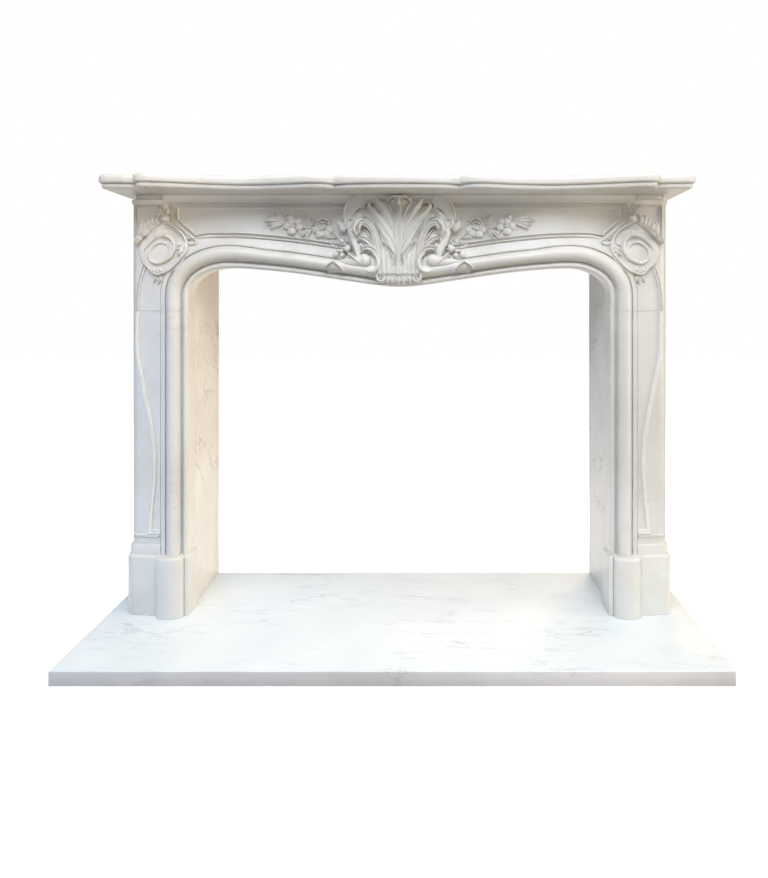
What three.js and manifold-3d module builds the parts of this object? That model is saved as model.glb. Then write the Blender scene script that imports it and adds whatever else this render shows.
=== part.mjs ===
// A carved marble fireplace mantel in the French rococo manner, standing on its own hearth slab.
// Two jambs on block feet carry one carved frieze with an arched lower edge, and a serpentine shelf lies on top.
// Plain slabs return from the jambs to the wall. The left half mirrors the right half.
//
// Millimetres, +Z up, front towards -Y. The origin is the middle of the hearth's underside.
// Heights in the code are above the hearth slab, unless said otherwise.
import * as THREE from "three";
import { mergeVertices } from "three/addons/utils/BufferGeometryUtils.js";
import Module from "manifold-3d";

const wasm = await Module();
wasm.setup();

// Heights of the pieces, from the hearth up.
const PLINTH_HEIGHT = 158;
const JAMB_HEIGHT = 646;
const FRIEZE_HEIGHT = 310;
const SHELF_THICK = 36;
const JOINT_HEIGHT = PLINTH_HEIGHT + JAMB_HEIGHT; // the bed joint between jamb and frieze
const SOFFIT_HEIGHT = JOINT_HEIGHT + FRIEZE_HEIGHT; // the underside of the shelf

// The opening: its half width, its rounded corners and the two heights of the arch.
const OPENING_HALF = 561;
const CORNER_RADIUS_X = 106;
const CORNER_RADIUS_Z = 73;
const SPRINGING = 42; // how far the opening runs on straight above the joint
const ARCH_DROP = 50; // how far the arch hangs down in the middle
const ARCH_HIGH = JOINT_HEIGHT + SPRINGING + CORNER_RADIUS_Z; // beside the corners
const ARCH_LOW = ARCH_HIGH - ARCH_DROP; // in the middle

// Widths outside the opening.
const JAMB_WIDTH = 157;
const OUTER_HALF = OPENING_HALF + JAMB_WIDTH;
const HEARTH_MARGIN = 55; // how far the hearth runs on beside the jambs
const HEARTH_WIDTH = 2 * (OUTER_HALF + HEARTH_MARGIN);
const SHELF_OVERHANG = 35; // how far the shelf's ears run on beside the jambs

// Hearth slab.
const HEARTH_DEPTH = 570;
const HEARTH_THICK = 35;
const BACK_Y = HEARTH_DEPTH / 2; // the wall plane

// Depths along Y, and the shape of a jamb's face.
const FACE_Y = 6; // front of jambs and corner blocks
const STILE_Y = 17; // the plain margin round the sunk panel
const GROUND_Y = 22; // the sunk panel of the frieze
const CORE_Y = 60; // back of plinths, jambs and frieze, where the returns start
const OUTER_ROUND = 28;
const FACE_SLOPE = 6; // how far a jamb's face falls back towards its outer edge

// The moulding round the opening, from the opening outwards.
const BEAD_WIDTH = 14;
const BEAD_HIGH = 8;
const QUIRK_WIDTH = 3;
const QUIRK_DEEP = 7;
const TORUS_JAMB = 31; // the torus is slimmer on the jambs than on the arch
const TORUS_ARCH = 40;
const TORUS_HIGH = 23;
const GROOVE_WIDTH = 4;
const FILLET_WIDTH = 8;
const FILLET_HIGH = 3;
const mouldingWidth = (torus) =>
  BEAD_WIDTH + QUIRK_WIDTH + torus + GROOVE_WIDTH + FILLET_WIDTH;
const COVE_WIDTH = 26; // the hollow between torus and panel border
const BORDER_WIDTH = 12;
const BORDER_HIGH = 4.5;
const CORNICE_HIGH = 25; // the frieze's top band
const CORNICE_PROUD = 6;

// Plinth blocks stand proud of the jambs.
const PLINTH_PROUD = 17;
const PLINTH_SIDE = 7;
const PLINTH_CHAMFER = 6;
const STEP_HIGH = 26; // the low band on top of the plinth
const STEP_PROUD = 4;

// Returns.
const RETURN_THICK = 25;
const RETURN_SETBACK = 4;

// Carving is let into the stone behind it, so that it grows out of one body.
const SUNK = 9;
const SMOOTHING = 1; // flaws smaller than this are evened out at the end

// The working gap at every joint keeps the pieces apart.
const GAP = 0.3;

const rad = (degrees) => (degrees * Math.PI) / 180;
const flat = (points) => points.map(([a, b]) => new THREE.Vector2(a, b));
const mirrored = (line) => line.map(([x, z]) => [-x, z]);

// A solid from a closed geometry.
function solidOf(geometry) {
  const plain = geometry.index ? geometry.toNonIndexed() : geometry.clone();
  for (const name of ["normal", "uv"]) plain.deleteAttribute(name);
  const merged = mergeVertices(plain, 1e-3);
  return new wasm.Manifold(
    new wasm.Mesh({
      numProp: 3,
      vertProperties: merged.attributes.position.array,
      triVerts: new Uint32Array(merged.index.array),
    }),
  );
}

function geometryOf(solid) {
  const mesh = solid.getMesh();
  const geometry = new THREE.BufferGeometry();
  geometry.setAttribute("position", new THREE.BufferAttribute(mesh.vertProperties, 3));
  geometry.setIndex(new THREE.BufferAttribute(mesh.triVerts, 1));
  return geometry;
}

const join = (solids) => solids.reduce((sum, solid) => sum.add(solid));

// The outermost shell alone: hollows closed in between carvings become stone.
function soundStone(solid) {
  return solid.decompose().reduce((a, b) => (a.volume() > b.volume() ? a : b));
}

// A closed body through rings of 3D points. The section gives the rings' shape, to close both ends.
function loft(rings, section) {
  const count = rings[0].length;
  const last = (rings.length - 1) * count;
  const index = [];
  for (let start = 0; start < last; start += count) {
    for (let i = 0; i < count; i += 1) {
      const a = start + i;
      const b = start + ((i + 1) % count);
      index.push(a, b, a + count, b, b + count, a + count);
    }
  }
  const outline = flat(section);
  const clockwise = THREE.ShapeUtils.isClockWise(outline);
  for (const face of THREE.ShapeUtils.triangulateShape(outline, [])) {
    const [a, b, c] = clockwise ? [face[0], face[2], face[1]] : face;
    index.push(a, c, b, last + a, last + b, last + c);
  }
  const geometry = new THREE.BufferGeometry();
  geometry.setAttribute("position", new THREE.Float32BufferAttribute(rings.flat(2), 3));
  geometry.setIndex(index);
  const solid = solidOf(geometry);
  if (solid.volume() > 0) return solid;
  geometry.setIndex([...index].reverse());
  return solidOf(geometry);
}

function prism(outline, depth) {
  const shape = new THREE.Shape(flat(outline));
  return new THREE.ExtrudeGeometry(shape, { depth, bevelEnabled: false, steps: 1 });
}

// A prism over an outline in plan, from one height to another.
function planPrism(outline, low, high) {
  return solidOf(prism(outline, high - low).translate(0, 0, low));
}

// A prism over an outline in front view, from one depth to another.
function frontPrism(outline, front, back) {
  const geometry = prism(outline, back - front);
  return solidOf(geometry.rotateX(Math.PI / 2).translate(0, back, 0));
}

// Evenly spaced points on a smooth curve through chosen points.
function smooth(points, count) {
  return new THREE.SplineCurve(flat(points)).getSpacedPoints(count).map((p) => [p.x, p.y]);
}

// Unit normals of a line, on the left of its direction.
function normalsOf(line) {
  return line.map((_, i) => {
    const [x0, z0] = line[Math.max(i - 1, 0)];
    const [x1, z1] = line[Math.min(i + 1, line.length - 1)];
    const length = Math.hypot(x1 - x0, z1 - z0);
    return [-(z1 - z0) / length, (x1 - x0) / length];
  });
}

// Carries a section, given as distance from the line and depth, along a front-view line.
// The section may change on the way: it is asked for with the number of the point.
function carry(line, sectionAt) {
  const normals = normalsOf(line);
  const rings = line.map(([x, z], i) => {
    const [nx, nz] = normals[i];
    return sectionAt(i).map(([d, y]) => [x + nx * d, y, z + nz * d]);
  });
  return loft(rings, sectionAt(0));
}

// Sections of raised work, as shares of half the width and of the height.
const RIDGE = [
  [-1, 0],
  [0, 1],
  [1, 0],
];
const CROWN = [
  [-1, 0],
  [-0.5, 1],
  [0.5, 1],
  [1, 0],
];

// Raised work along a front-view line, with a keel let into the stone.
// It stands on a depth that may depend on the place.
function raised(line, options) {
  const { width, high, base, shape = CROWN, widthAt = () => 1, highAt = () => 1 } = options;
  const depthAt = typeof base === "function" ? base : () => base;
  const normals = normalsOf(line);
  const rings = line.map(([x, z], i) => {
    const t = i / (line.length - 1);
    const half = (width / 2) * Math.max(widthAt(t), 0.06);
    const rise = high * Math.max(highAt(t), 0.06);
    const [nx, nz] = normals[i];
    const at = (a, y) => [x + nx * half * a, y, z + nz * half * a];
    const ground = depthAt(x, z);
    return [...shape.map(([a, b]) => at(a, ground - rise * b)), at(0, ground + SUNK)];
  });
  return loft(rings, [...shape, [0, -1]]);
}

// A leaf from its root to its tip, ridged in the middle, bowed to the left by a share of its length.
function leaf([x0, z0], [x1, z1], { width, high, base, bow = 0.12, count = 3 }) {
  const middle = [(x0 + x1) / 2 - (z1 - z0) * bow, (z0 + z1) / 2 + (x1 - x0) * bow];
  return raised(smooth([[x0, z0], middle, [x1, z1]], count), {
    width,
    high,
    base,
    shape: RIDGE,
    widthAt: (t) => Math.sin(Math.PI * t ** 0.7) ** 0.8,
    highAt: (t) => 0.45 + 0.55 * Math.sin(Math.PI * (0.15 + 0.75 * t)),
  });
}

// A line round an eye. The radius goes from one value to another, late or early by the easing.
function coil([cx, cz], { from, to, start, turns, count, easing = 1, tall = 1 }) {
  return Array.from({ length: count + 1 }, (_, i) => {
    const t = i / count;
    const radius = from + (to - from) * t ** easing;
    const angle = start + turns * 2 * Math.PI * t;
    return [cx + radius * Math.cos(angle), cz + tall * radius * Math.sin(angle)];
  });
}

// A lobed blossom with a raised eye.
function blossom([cx, cz], radius, high, base) {
  const petals = 5;
  const around = petals * 4;
  const levels = [
    [1, -SUNK],
    [0.9, high],
    [0.25, high * 0.5],
  ];
  const rings = levels.map(([share, rise], level) =>
    Array.from({ length: around }, (_, i) => {
      const angle = (2 * Math.PI * i) / around;
      const lobe = level < 2 ? 0.66 + 0.34 * Math.abs(Math.cos((petals * angle) / 2)) ** 0.6 : 1;
      const r = radius * share * lobe;
      return [cx + r * Math.cos(angle), base - rise, cz + r * Math.sin(angle)];
    }),
  );
  return loft(
    rings,
    rings[0].map(([x, , z]) => [x, z]),
  );
}

// A round berry or ball, half sunk in the stone.
function ball([x, z], radius, base) {
  return solidOf(new THREE.SphereGeometry(radius, 7, 4).translate(x, base, z));
}

// The mirror image across the middle of the mantel.
const turnedOver = (solid) => solid.mirror([1, 0, 0]);

// The edge of the opening, from the right bed joint over the arch to the middle.
const CORNER_STEPS = 8;
const ARCH_STEPS = 9;

function halfOpeningEdge() {
  const springing = ARCH_HIGH - CORNER_RADIUS_Z;
  const corner = Array.from({ length: CORNER_STEPS + 1 }, (_, i) => {
    const angle = ((Math.PI / 2) * i) / CORNER_STEPS;
    return [
      OPENING_HALF - CORNER_RADIUS_X * (1 - Math.cos(angle)),
      springing + CORNER_RADIUS_Z * Math.sin(angle),
    ];
  });
  const run = OPENING_HALF - CORNER_RADIUS_X;
  const fall = [
    [1, 0],
    [0.88, 0.04],
    [0.63, 0.26],
    [0.35, 0.63],
    [0.12, 0.93],
    [0, 1],
  ].map(([x, drop]) => [run * x, ARCH_HIGH - (ARCH_HIGH - ARCH_LOW) * drop]);
  return [[OPENING_HALF, JOINT_HEIGHT], ...corner, ...smooth(fall, ARCH_STEPS).slice(1)];
}

// The moulding's section: bead, quirk, torus, groove and fillet, as distance from the opening and depth.
function mouldingSection(torus, back) {
  const torusStart = BEAD_WIDTH + QUIRK_WIDTH;
  const torusEnd = torusStart + torus;
  const filletStart = torusEnd + GROOVE_WIDTH;
  const bead = [0, 1, 2, 3].map((i) => [
    (BEAD_WIDTH * i) / 3,
    FACE_Y - BEAD_HIGH * Math.sin(Math.PI * (0.15 + 0.233 * i)),
  ]);
  const round = Array.from({ length: 7 }, (_, i) => {
    const angle = (Math.PI * i) / 6;
    return [torusStart + (torus / 2) * (1 - Math.cos(angle)), FACE_Y - TORUS_HIGH * Math.sin(angle)];
  });
  return [
    [0, back],
    ...bead,
    [BEAD_WIDTH + QUIRK_WIDTH / 2, FACE_Y + QUIRK_DEEP],
    ...round,
    [filletStart - 0.5, FACE_Y + 1],
    [filletStart, FACE_Y - FILLET_HIGH],
    [filletStart + FILLET_WIDTH, FACE_Y - FILLET_HIGH],
    [filletStart + FILLET_WIDTH, back],
  ];
}

// A jamb's face in plan, from the moulding round the outer edge to the back.
function facePlan(innerX, proud = 0, side = 0) {
  const outer = OUTER_HALF + side;
  const round = Array.from({ length: 5 }, (_, i) => {
    const angle = ((Math.PI / 2) * i) / 4;
    return [
      outer - OUTER_ROUND * (1 - Math.sin(angle)),
      FACE_Y + FACE_SLOPE - proud + OUTER_ROUND * (1 - Math.cos(angle)),
    ];
  });
  return [[innerX, FACE_Y - proud], ...round, [outer, CORE_Y]];
}

const JAMB_FACE_INNER = OPENING_HALF + mouldingWidth(TORUS_JAMB);

// The depth of a jamb's face at a place across it.
function faceDepth(x) {
  const plan = facePlan(JAMB_FACE_INNER);
  const place = Math.min(Math.max(Math.abs(x), JAMB_FACE_INNER), OUTER_HALF - 0.5);
  const next = plan.findIndex(([planX]) => planX >= place && planX > JAMB_FACE_INNER);
  const [x0, y0] = plan[next - 1];
  const [x1, y1] = plan[next];
  return y0 + ((y1 - y0) * (place - x0)) / (x1 - x0);
}

// The border that narrows the jamb's panel like a waist, from the bed joint down to the foot.
const PANEL_FOOT = PLINTH_HEIGHT + 65;

function panelCurve() {
  const width = OUTER_HALF - JAMB_FACE_INNER;
  const height = JOINT_HEIGHT - PANEL_FOOT;
  const waist = [
    [0.83, 1],
    [0.82, 0.82],
    [0.67, 0.7],
    [0.4, 0.49],
    [0.28, 0.3],
    [0.33, 0.15],
    [0.43, 0],
  ];
  return smooth(
    waist.map(([x, z]) => [JAMB_FACE_INNER + width * x, PANEL_FOOT + height * z]),
    12,
  );
}

const BORDER = { width: 7, high: 3, base: faceDepth };

// One jamb: the moulding, the face with its waisted border and the low band at the foot.
function jamb() {
  const low = PLINTH_HEIGHT + GAP;
  const high = JOINT_HEIGHT - GAP;
  const moulding = mouldingSection(TORUS_JAMB, CORE_Y).map(([d, y]) => [OPENING_HALF + d, y]);
  const face = facePlan(JAMB_FACE_INNER);
  const shaft = planPrism([...moulding.slice(0, -1), ...face], low, high);
  const curve = panelCurve();
  const [footX, footZ] = curve[curve.length - 1];
  const border = raised([[curve[0][0], high + 1], ...curve], BORDER);
  const sill = raised(
    [
      [footX + 3, footZ],
      [JAMB_FACE_INNER - 2, footZ],
    ],
    BORDER,
  );
  const foot = raised(
    [
      [OUTER_HALF - OUTER_ROUND * 0.7, footZ - 12],
      [JAMB_FACE_INNER - 2, footZ - 12],
    ],
    BORDER,
  );
  const step = planPrism(
    [...facePlan(JAMB_FACE_INNER - 2, STEP_PROUD, STEP_PROUD), [JAMB_FACE_INNER - 2, CORE_Y]],
    low,
    low + STEP_HIGH,
  );
  const room = planPrism(
    [
      [0, -HEARTH_DEPTH],
      [HEARTH_WIDTH, -HEARTH_DEPTH],
      [HEARTH_WIDTH, CORE_Y],
      [0, CORE_Y],
    ],
    low,
    high,
  );
  return soundStone(join([shaft, border, sill, foot, step]).intersect(room));
}

// One plinth block: the jamb's plan stood proud, with a lobe under the torus and a chamfered top.
function plinth() {
  const front = FACE_Y - PLINTH_PROUD;
  const lobeStart = OPENING_HALF + 2;
  const lobeEnd = JAMB_FACE_INNER + 8;
  const lobeHalf = (lobeEnd - lobeStart) / 2;
  const outline = (shrink) => {
    const inner = OPENING_HALF - PLINTH_SIDE + shrink;
    const lobe = Array.from({ length: 11 }, (_, i) => {
      const angle = (Math.PI * i) / 10;
      return [
        lobeStart + lobeHalf - (lobeHalf - shrink / 2) * Math.cos(angle),
        front + shrink - TORUS_HIGH * Math.sin(angle) ** 0.8,
      ];
    });
    return [
      [inner, CORE_Y],
      [inner, front + shrink + 3],
      [inner + 3, front + shrink],
      ...lobe,
      ...facePlan(lobeEnd, PLINTH_PROUD - shrink, PLINTH_SIDE - shrink).slice(1),
    ];
  };
  const levels = [
    [0, GAP],
    [0, PLINTH_HEIGHT - PLINTH_CHAMFER],
    [PLINTH_CHAMFER, PLINTH_HEIGHT],
  ];
  const rings = levels.map(([shrink, z]) => outline(shrink).map(([x, y]) => [x, y, z]));
  return loft(rings, outline(0));
}

// Where the sunk panel's border turns at the corner blocks.
const PANEL_HALF = OUTER_HALF - 125;
const PANEL_NICK = OUTER_HALF - 176;
const NICK_TOP = SOFFIT_HEIGHT - 74;
const NICK_BOTTOM = SOFFIT_HEIGHT - 122;

// The corner block: the jamb's face carried up to the shelf, with a frame line and a forward top band.
function cornerBlock() {
  const innerX = PANEL_HALF + 24;
  const block = planPrism(
    [...facePlan(innerX), [innerX, CORE_Y]],
    JOINT_HEIGHT,
    SOFFIT_HEIGHT,
  );
  const band = planPrism(
    [...facePlan(innerX, CORNICE_PROUD, CORNICE_PROUD / 2), [innerX, CORE_Y]],
    SOFFIT_HEIGHT - CORNICE_HIGH,
    SOFFIT_HEIGHT,
  );
  const frameX = OUTER_HALF - OUTER_ROUND * 0.7;
  const frameZ = SOFFIT_HEIGHT - CORNICE_HIGH - 8;
  const frame = raised(
    [
      [frameX, SOFFIT_HEIGHT - 120],
      [frameX, frameZ],
    ],
    BORDER,
  );
  const lintel = raised(
    [
      [frameX + 2, frameZ],
      [innerX + 6, frameZ],
    ],
    BORDER,
  );
  return [block, band, frame, lintel];
}

// The scroll of a corner block: a boss with a coil, a rim, and a leafy arm over its shoulder.
const EYE = [OUTER_HALF - 74, SOFFIT_HEIGHT - 149];
const SCROLL_RADIUS = 72;

function cornerScroll() {
  const [x, z] = EYE;
  const boss = frontPrism(
    coil(EYE, { from: 1, to: 1, start: 0, turns: -1, count: 24 })
      .slice(1)
      .map(([px, pz]) => [
        Math.min(x + (px - x) * SCROLL_RADIUS, OUTER_HALF - 13),
        z + (pz - z) * SCROLL_RADIUS * 0.88,
      ]),
    FACE_Y - 3,
    CORE_Y,
  );
  const rim = coil(EYE, {
    from: SCROLL_RADIUS,
    to: SCROLL_RADIUS * 0.86,
    start: rad(98),
    turns: 0.42,
    count: 8,
    tall: 0.9,
  });
  const winding = coil(EYE, {
    from: SCROLL_RADIUS * 0.56,
    to: SCROLL_RADIUS * 0.22,
    start: rad(-12),
    turns: 1.46,
    count: 17,
    easing: 2.4,
  });
  const edge = { width: 8, high: 8, base: FACE_Y - 2 };
  const arm = [
    [x + 58, z + 8],
    [x + 34, z + 46],
    [x + 4, z + 66],
    [x - 24, z + 92],
  ];
  const frill = [0, 1, 2, 3].map((i) => {
    const t = (i + 0.5) / 4;
    const root = [x + 50 - 68 * t, z + 24 + 56 * t];
    return leaf(root, [root[0] + 6 + 8 * t, root[1] + 26], {
      width: 17,
      high: 8,
      base: FACE_Y,
    });
  });
  const pendant = [-17, 0, 17].map((reach) =>
    leaf([x, z - 58], [x + reach, z - 94 + Math.abs(reach) / 2], {
      width: 15,
      high: 8,
      base: FACE_Y,
    }),
  );
  const panelTop = raised(
    smooth(
      [
        [panelCurve()[0][0], JOINT_HEIGHT - 1],
        [OUTER_HALF - 20, JOINT_HEIGHT + 60],
        [x + 40, z - 36],
      ],
      6,
    ),
    BORDER,
  );
  return [
    boss,
    raised(rim, edge),
    raised(winding, edge),
    raised(smooth(arm, 5), {
      width: 20,
      high: 12,
      base: FACE_Y,
      widthAt: (t) => 0.5 + 0.5 * Math.sin(Math.PI * t),
    }),
    ball(arm[3], 10, FACE_Y),
    leaf(arm[3], [x - 20, z + 124], { width: 20, high: 9, base: FACE_Y + 4 }),
    ...frill,
    ball([x, z - 58], 11, FACE_Y - 2),
    ...pendant,
    panelTop,
  ];
}

// The border of the sunk panel along the top and round the corner block.
function panelBorder() {
  const top = SOFFIT_HEIGHT - CORNICE_HIGH - BORDER_WIDTH / 2 - 2;
  const line = [
    [120, top],
    [PANEL_HALF, top],
    [PANEL_HALF, NICK_TOP],
    [PANEL_NICK, NICK_BOTTOM],
  ];
  return line.slice(1).map((end, i) => {
    const start = line[i];
    const length = Math.hypot(end[0] - start[0], end[1] - start[1]);
    const share = BORDER_WIDTH / (3 * length);
    const over = end.map((value, axis) => value + (value - start[axis]) * share);
    return raised([start, over], {
      width: BORDER_WIDTH,
      high: BORDER_HIGH,
      base: GROUND_Y,
    });
  });
}

// A spray beside the cartouche: two blossoms, a bud and a sprig of berries on leafy stems.
function spray() {
  const nearX = 197;
  const farX = 279;
  const nearZ = SOFFIT_HEIGHT - 88;
  const farZ = SOFFIT_HEIGHT - 73;
  const stem = [
    [148, nearZ - 50],
    [170, nearZ - 18],
    [nearX, nearZ],
    [farX, farZ],
    [325, farZ + 4],
  ];
  const twigs = [
    [[292, farZ - 6], [357, farZ + 4]],
    [[300, farZ - 2], [328, farZ + 20]],
    [[300, farZ - 4], [336, farZ - 24]],
    [[232, nearZ], [243, nearZ + 38]],
    [[240, nearZ - 2], [258, nearZ - 30]],
    [[152, nearZ - 48], [186, nearZ - 38]],
  ];
  const crossing = [
    [[168, ARCH_LOW + 70], [196, ARCH_LOW + 40]],
    [[160, ARCH_LOW + 72], [136, ARCH_LOW + 38]],
  ];
  const berries = [
    [165, ARCH_LOW + 84],
    [148, ARCH_LOW + 94],
    [142, ARCH_LOW + 80],
    [150, ARCH_LOW + 112],
  ];
  return [
    raised(smooth(stem, 6), { width: 7, high: 8, base: GROUND_Y }),
    ...twigs.map(([root, tip]) => leaf(root, tip, { width: 16, high: 12, base: GROUND_Y })),
    ...crossing.map(([root, tip]) => leaf(root, tip, { width: 15, high: 14, base: FACE_Y - 13 })),
    ...berries.map((place) => ball(place, 10, GROUND_Y - 10)),
    blossom([nearX, nearZ], 27, 20, GROUND_Y),
    blossom([farX, farZ], 22, 18, GROUND_Y),
  ];
}

// The cartouche swells forward towards its foot, where it covers the torus.
const SWELL_TOP = GROUND_Y - 12;
const SWELL = 24;
const SWELL_RUN = 150;

function base(x, z) {
  const share = Math.min(Math.max((z - ARCH_LOW - 30) / SWELL_RUN, 0), 1);
  return SWELL_TOP - SWELL * (1 - share);
}

// The right half of the cartouche.
function cartoucheHalf() {
  const top = SOFFIT_HEIGHT;
  const foot = ARCH_LOW;
  const fingers = [
    [[10, foot + 150], [56, top - 10], 34],
    [[10, foot + 120], [84, top - 26], 34],
    [[12, foot + 95], [80, top - 60], 34],
    [[12, foot + 72], [62, top - 86], 30],
  ].map(([root, tip, width]) => leaf(root, tip, { width, high: 18, base, bow: -0.1 }));
  const flutes = [17, 38].map((x) =>
    raised(
      smooth(
        [
          [x, foot + 34],
          [x * 1.05, foot + 74],
          [x * 1.3, foot + 112],
        ],
        2,
      ),
      { width: 18, high: 16, base, shape: RIDGE, widthAt: (t) => 1 - 0.5 * t },
    ),
  );
  const frond = [
    [48, foot + 40],
    [68, foot + 100],
    [76, foot + 146],
    [92, foot + 176],
    [113, foot + 170],
    [117, foot + 144],
  ];
  const curls = [
    [[72, foot + 112], [112, foot + 124]],
    [[68, foot + 92], [98, foot + 104]],
  ];
  const hook = [
    [98, foot + 88],
    [70, foot + 82],
    [62, foot + 58],
    [84, foot + 44],
  ];
  const comma = [
    [88, top - 26],
    [104, top - 10],
    [126, top - 18],
    [133, top - 42],
    [131, top - 66],
  ];
  const strap = [
    [147, top - 92],
    [126, foot + 112],
    [104, foot + 84],
  ];
  const tongue = [
    [96, foot + 68],
    [130, foot + 66],
    [160, foot + 62],
  ];
  const tuft = [-22, 0, 22].map((reach) =>
    leaf([134, top - 100], [136 + reach, top - 66 - Math.abs(reach) / 3], {
      width: 18,
      high: 18,
      base,
    }),
  );
  const volute = coil([47, foot + 22], {
    from: 14,
    to: 5,
    start: Math.PI / 2,
    turns: -1.1,
    count: 8,
  });
  const shell = [12, 25].map((x) =>
    leaf([x * 0.6, foot + 34], [x, foot + 6], { width: 12, high: 10, base: FACE_Y - 8 }),
  );
  return [
    ...fingers,
    ...flutes,
    raised(smooth(frond, 8), {
      width: 27,
      high: 22,
      base,
      widthAt: (t) => 1 - 0.4 * t,
    }),
    ...curls.map(([root, tip]) => leaf(root, tip, { width: 22, high: 22, base, bow: 0.22 })),
    raised(smooth(hook, 5), { width: 17, high: 20, base, widthAt: (t) => 1 - 0.4 * t }),
    ball([93, foot + 74], 18, FACE_Y - 10),
    raised(smooth(comma, 6), { width: 32, high: 8, base: SWELL_TOP + 4 }),
    raised(strap, { width: 34, high: 10, base, widthAt: (t) => 1 - 0.35 * t }),
    raised(tongue, {
      width: 18,
      high: 8,
      base: FACE_Y - TORUS_HIGH * 0.8,
      shape: RIDGE,
      widthAt: (t) => 1 - 0.8 * t,
    }),
    ...tuft,
    raised(volute, { width: 8, high: 10, base: FACE_Y - 9 }),
    ...shell,
  ];
}

// The cartouche: a swelling shield under a ribbed leaf whose tip curls forward below the shelf.
function cartouche() {
  const middle = (low, high, count) =>
    Array.from({ length: count + 1 }, (_, i) => [0, low + ((high - low) * i) / count]);
  const shield = raised(middle(ARCH_LOW + 30, SOFFIT_HEIGHT - 6, 5), {
    width: 176,
    high: GROUND_Y - SWELL_TOP + SWELL,
    base: GROUND_Y,
    widthAt: (t) => 0.7 + 0.3 * Math.sin(Math.PI * (0.2 + 0.6 * t)),
    highAt: (t) => 1 - 0.67 * Math.min(t / 0.7, 1),
  });
  const stem = raised(middle(ARCH_LOW + 34, SOFFIT_HEIGHT - 26, 3), { width: 10, high: 20, base });
  const curlZ = SOFFIT_HEIGHT - 16;
  const curl = raised(
    [
      [-30, curlZ - 4],
      [-14, curlZ + 3],
      [0, curlZ],
      [14, curlZ + 3],
      [30, curlZ - 4],
    ],
    {
      width: 24,
      high: 32,
      base: SWELL_TOP,
      widthAt: (t) => 0.4 + 0.6 * Math.sin(Math.PI * t),
    },
  );
  const tongue = leaf([0, curlZ], [0, curlZ - 26], {
    width: 24,
    high: 30,
    base: SWELL_TOP,
    bow: 0,
  });
  const apron = raised(
    [
      [-60, ARCH_LOW + 20],
      [0, ARCH_LOW + 16],
      [60, ARCH_LOW + 20],
    ],
    { width: 34, high: 10, base: FACE_Y },
  );
  const half = join(cartoucheHalf());
  return [shield, stem, curl, tongue, apron, half, turnedOver(half)];
}

// The frieze: one stone with the arch, the corner blocks and all the carving.
function frieze() {
  const half = halfOpeningEdge();
  const edge = [...half, ...mirrored(half.slice(0, -1)).reverse()];
  const plate = frontPrism(
    [
      ...edge,
      [OUTER_ROUND - OUTER_HALF, JOINT_HEIGHT],
      [OUTER_ROUND - OUTER_HALF, SOFFIT_HEIGHT],
      [OUTER_HALF - OUTER_ROUND, SOFFIT_HEIGHT],
      [OUTER_HALF - OUTER_ROUND, JOINT_HEIGHT],
    ],
    GROUND_Y,
    CORE_Y,
  );
  const last = edge.length - 1;
  const torusAt = (i) => {
    const step = Math.min(i, last - i);
    const share = Math.min(Math.max((step - 1) / CORNER_STEPS, 0), 1);
    return TORUS_JAMB + (TORUS_ARCH - TORUS_JAMB) * share;
  };
  const moulding = carry(edge, (i) =>
    mouldingSection(torusAt(i), CORE_Y).map(([d, y]) => [-d, y]),
  );
  const coveStart = mouldingWidth(TORUS_ARCH) - FILLET_WIDTH / 2;
  const coveEnd = coveStart + COVE_WIDTH;
  const coveSection = [
    [coveStart - 2, CORE_Y],
    [coveStart - 2, FACE_Y - FILLET_HIGH + 1],
    [coveStart, FACE_Y - FILLET_HIGH + 1],
    [coveStart + COVE_WIDTH * 0.3, FACE_Y + (GROUND_Y - FACE_Y) * 0.55],
    [coveStart + COVE_WIDTH * 0.65, FACE_Y + (GROUND_Y - FACE_Y) * 0.85],
    [coveEnd, GROUND_Y - 1],
    [coveEnd + 1, GROUND_Y - BORDER_HIGH],
    [coveEnd + BORDER_WIDTH - 1, GROUND_Y - BORDER_HIGH],
    [coveEnd + BORDER_WIDTH, GROUND_Y],
    [coveEnd + BORDER_WIDTH, CORE_Y],
  ].map(([d, y]) => [-d, y]);
  const reach = OPENING_HALF - CORNER_RADIUS_X / 2;
  const cove = carry(
    edge.filter(([x]) => Math.abs(x) <= reach),
    () => coveSection,
  );
  const stile = frontPrism(
    [
      [OUTER_HALF - OUTER_ROUND, SOFFIT_HEIGHT],
      [PANEL_HALF, SOFFIT_HEIGHT],
      [PANEL_HALF, NICK_TOP],
      [PANEL_NICK, NICK_BOTTOM],
      [PANEL_NICK, ARCH_HIGH + 50],
      [OUTER_HALF - OUTER_ROUND, ARCH_HIGH - CORNER_RADIUS_Z],
    ],
    STILE_Y,
    CORE_Y,
  );
  const cornice = frontPrism(
    [
      [-PANEL_HALF - 30, SOFFIT_HEIGHT - CORNICE_HIGH],
      [-PANEL_HALF - 30, SOFFIT_HEIGHT],
      [PANEL_HALF + 30, SOFFIT_HEIGHT],
      [PANEL_HALF + 30, SOFFIT_HEIGHT - CORNICE_HIGH],
    ],
    STILE_Y - CORNICE_PROUD,
    CORE_Y,
  );
  const side = join([stile, ...cornerBlock(), ...cornerScroll(), ...panelBorder(), ...spray()]);
  const whole = join([plate, moulding, cove, cornice, side, turnedOver(side), ...cartouche()]);
  const room = planPrism(
    [
      [-HEARTH_WIDTH, -HEARTH_DEPTH],
      [HEARTH_WIDTH, -HEARTH_DEPTH],
      [HEARTH_WIDTH, CORE_Y],
      [-HEARTH_WIDTH, CORE_Y],
    ],
    JOINT_HEIGHT,
    SOFFIT_HEIGHT - GAP,
  );
  return soundStone(soundStone(whole.intersect(room)).simplify(SMOOTHING));
}

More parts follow.
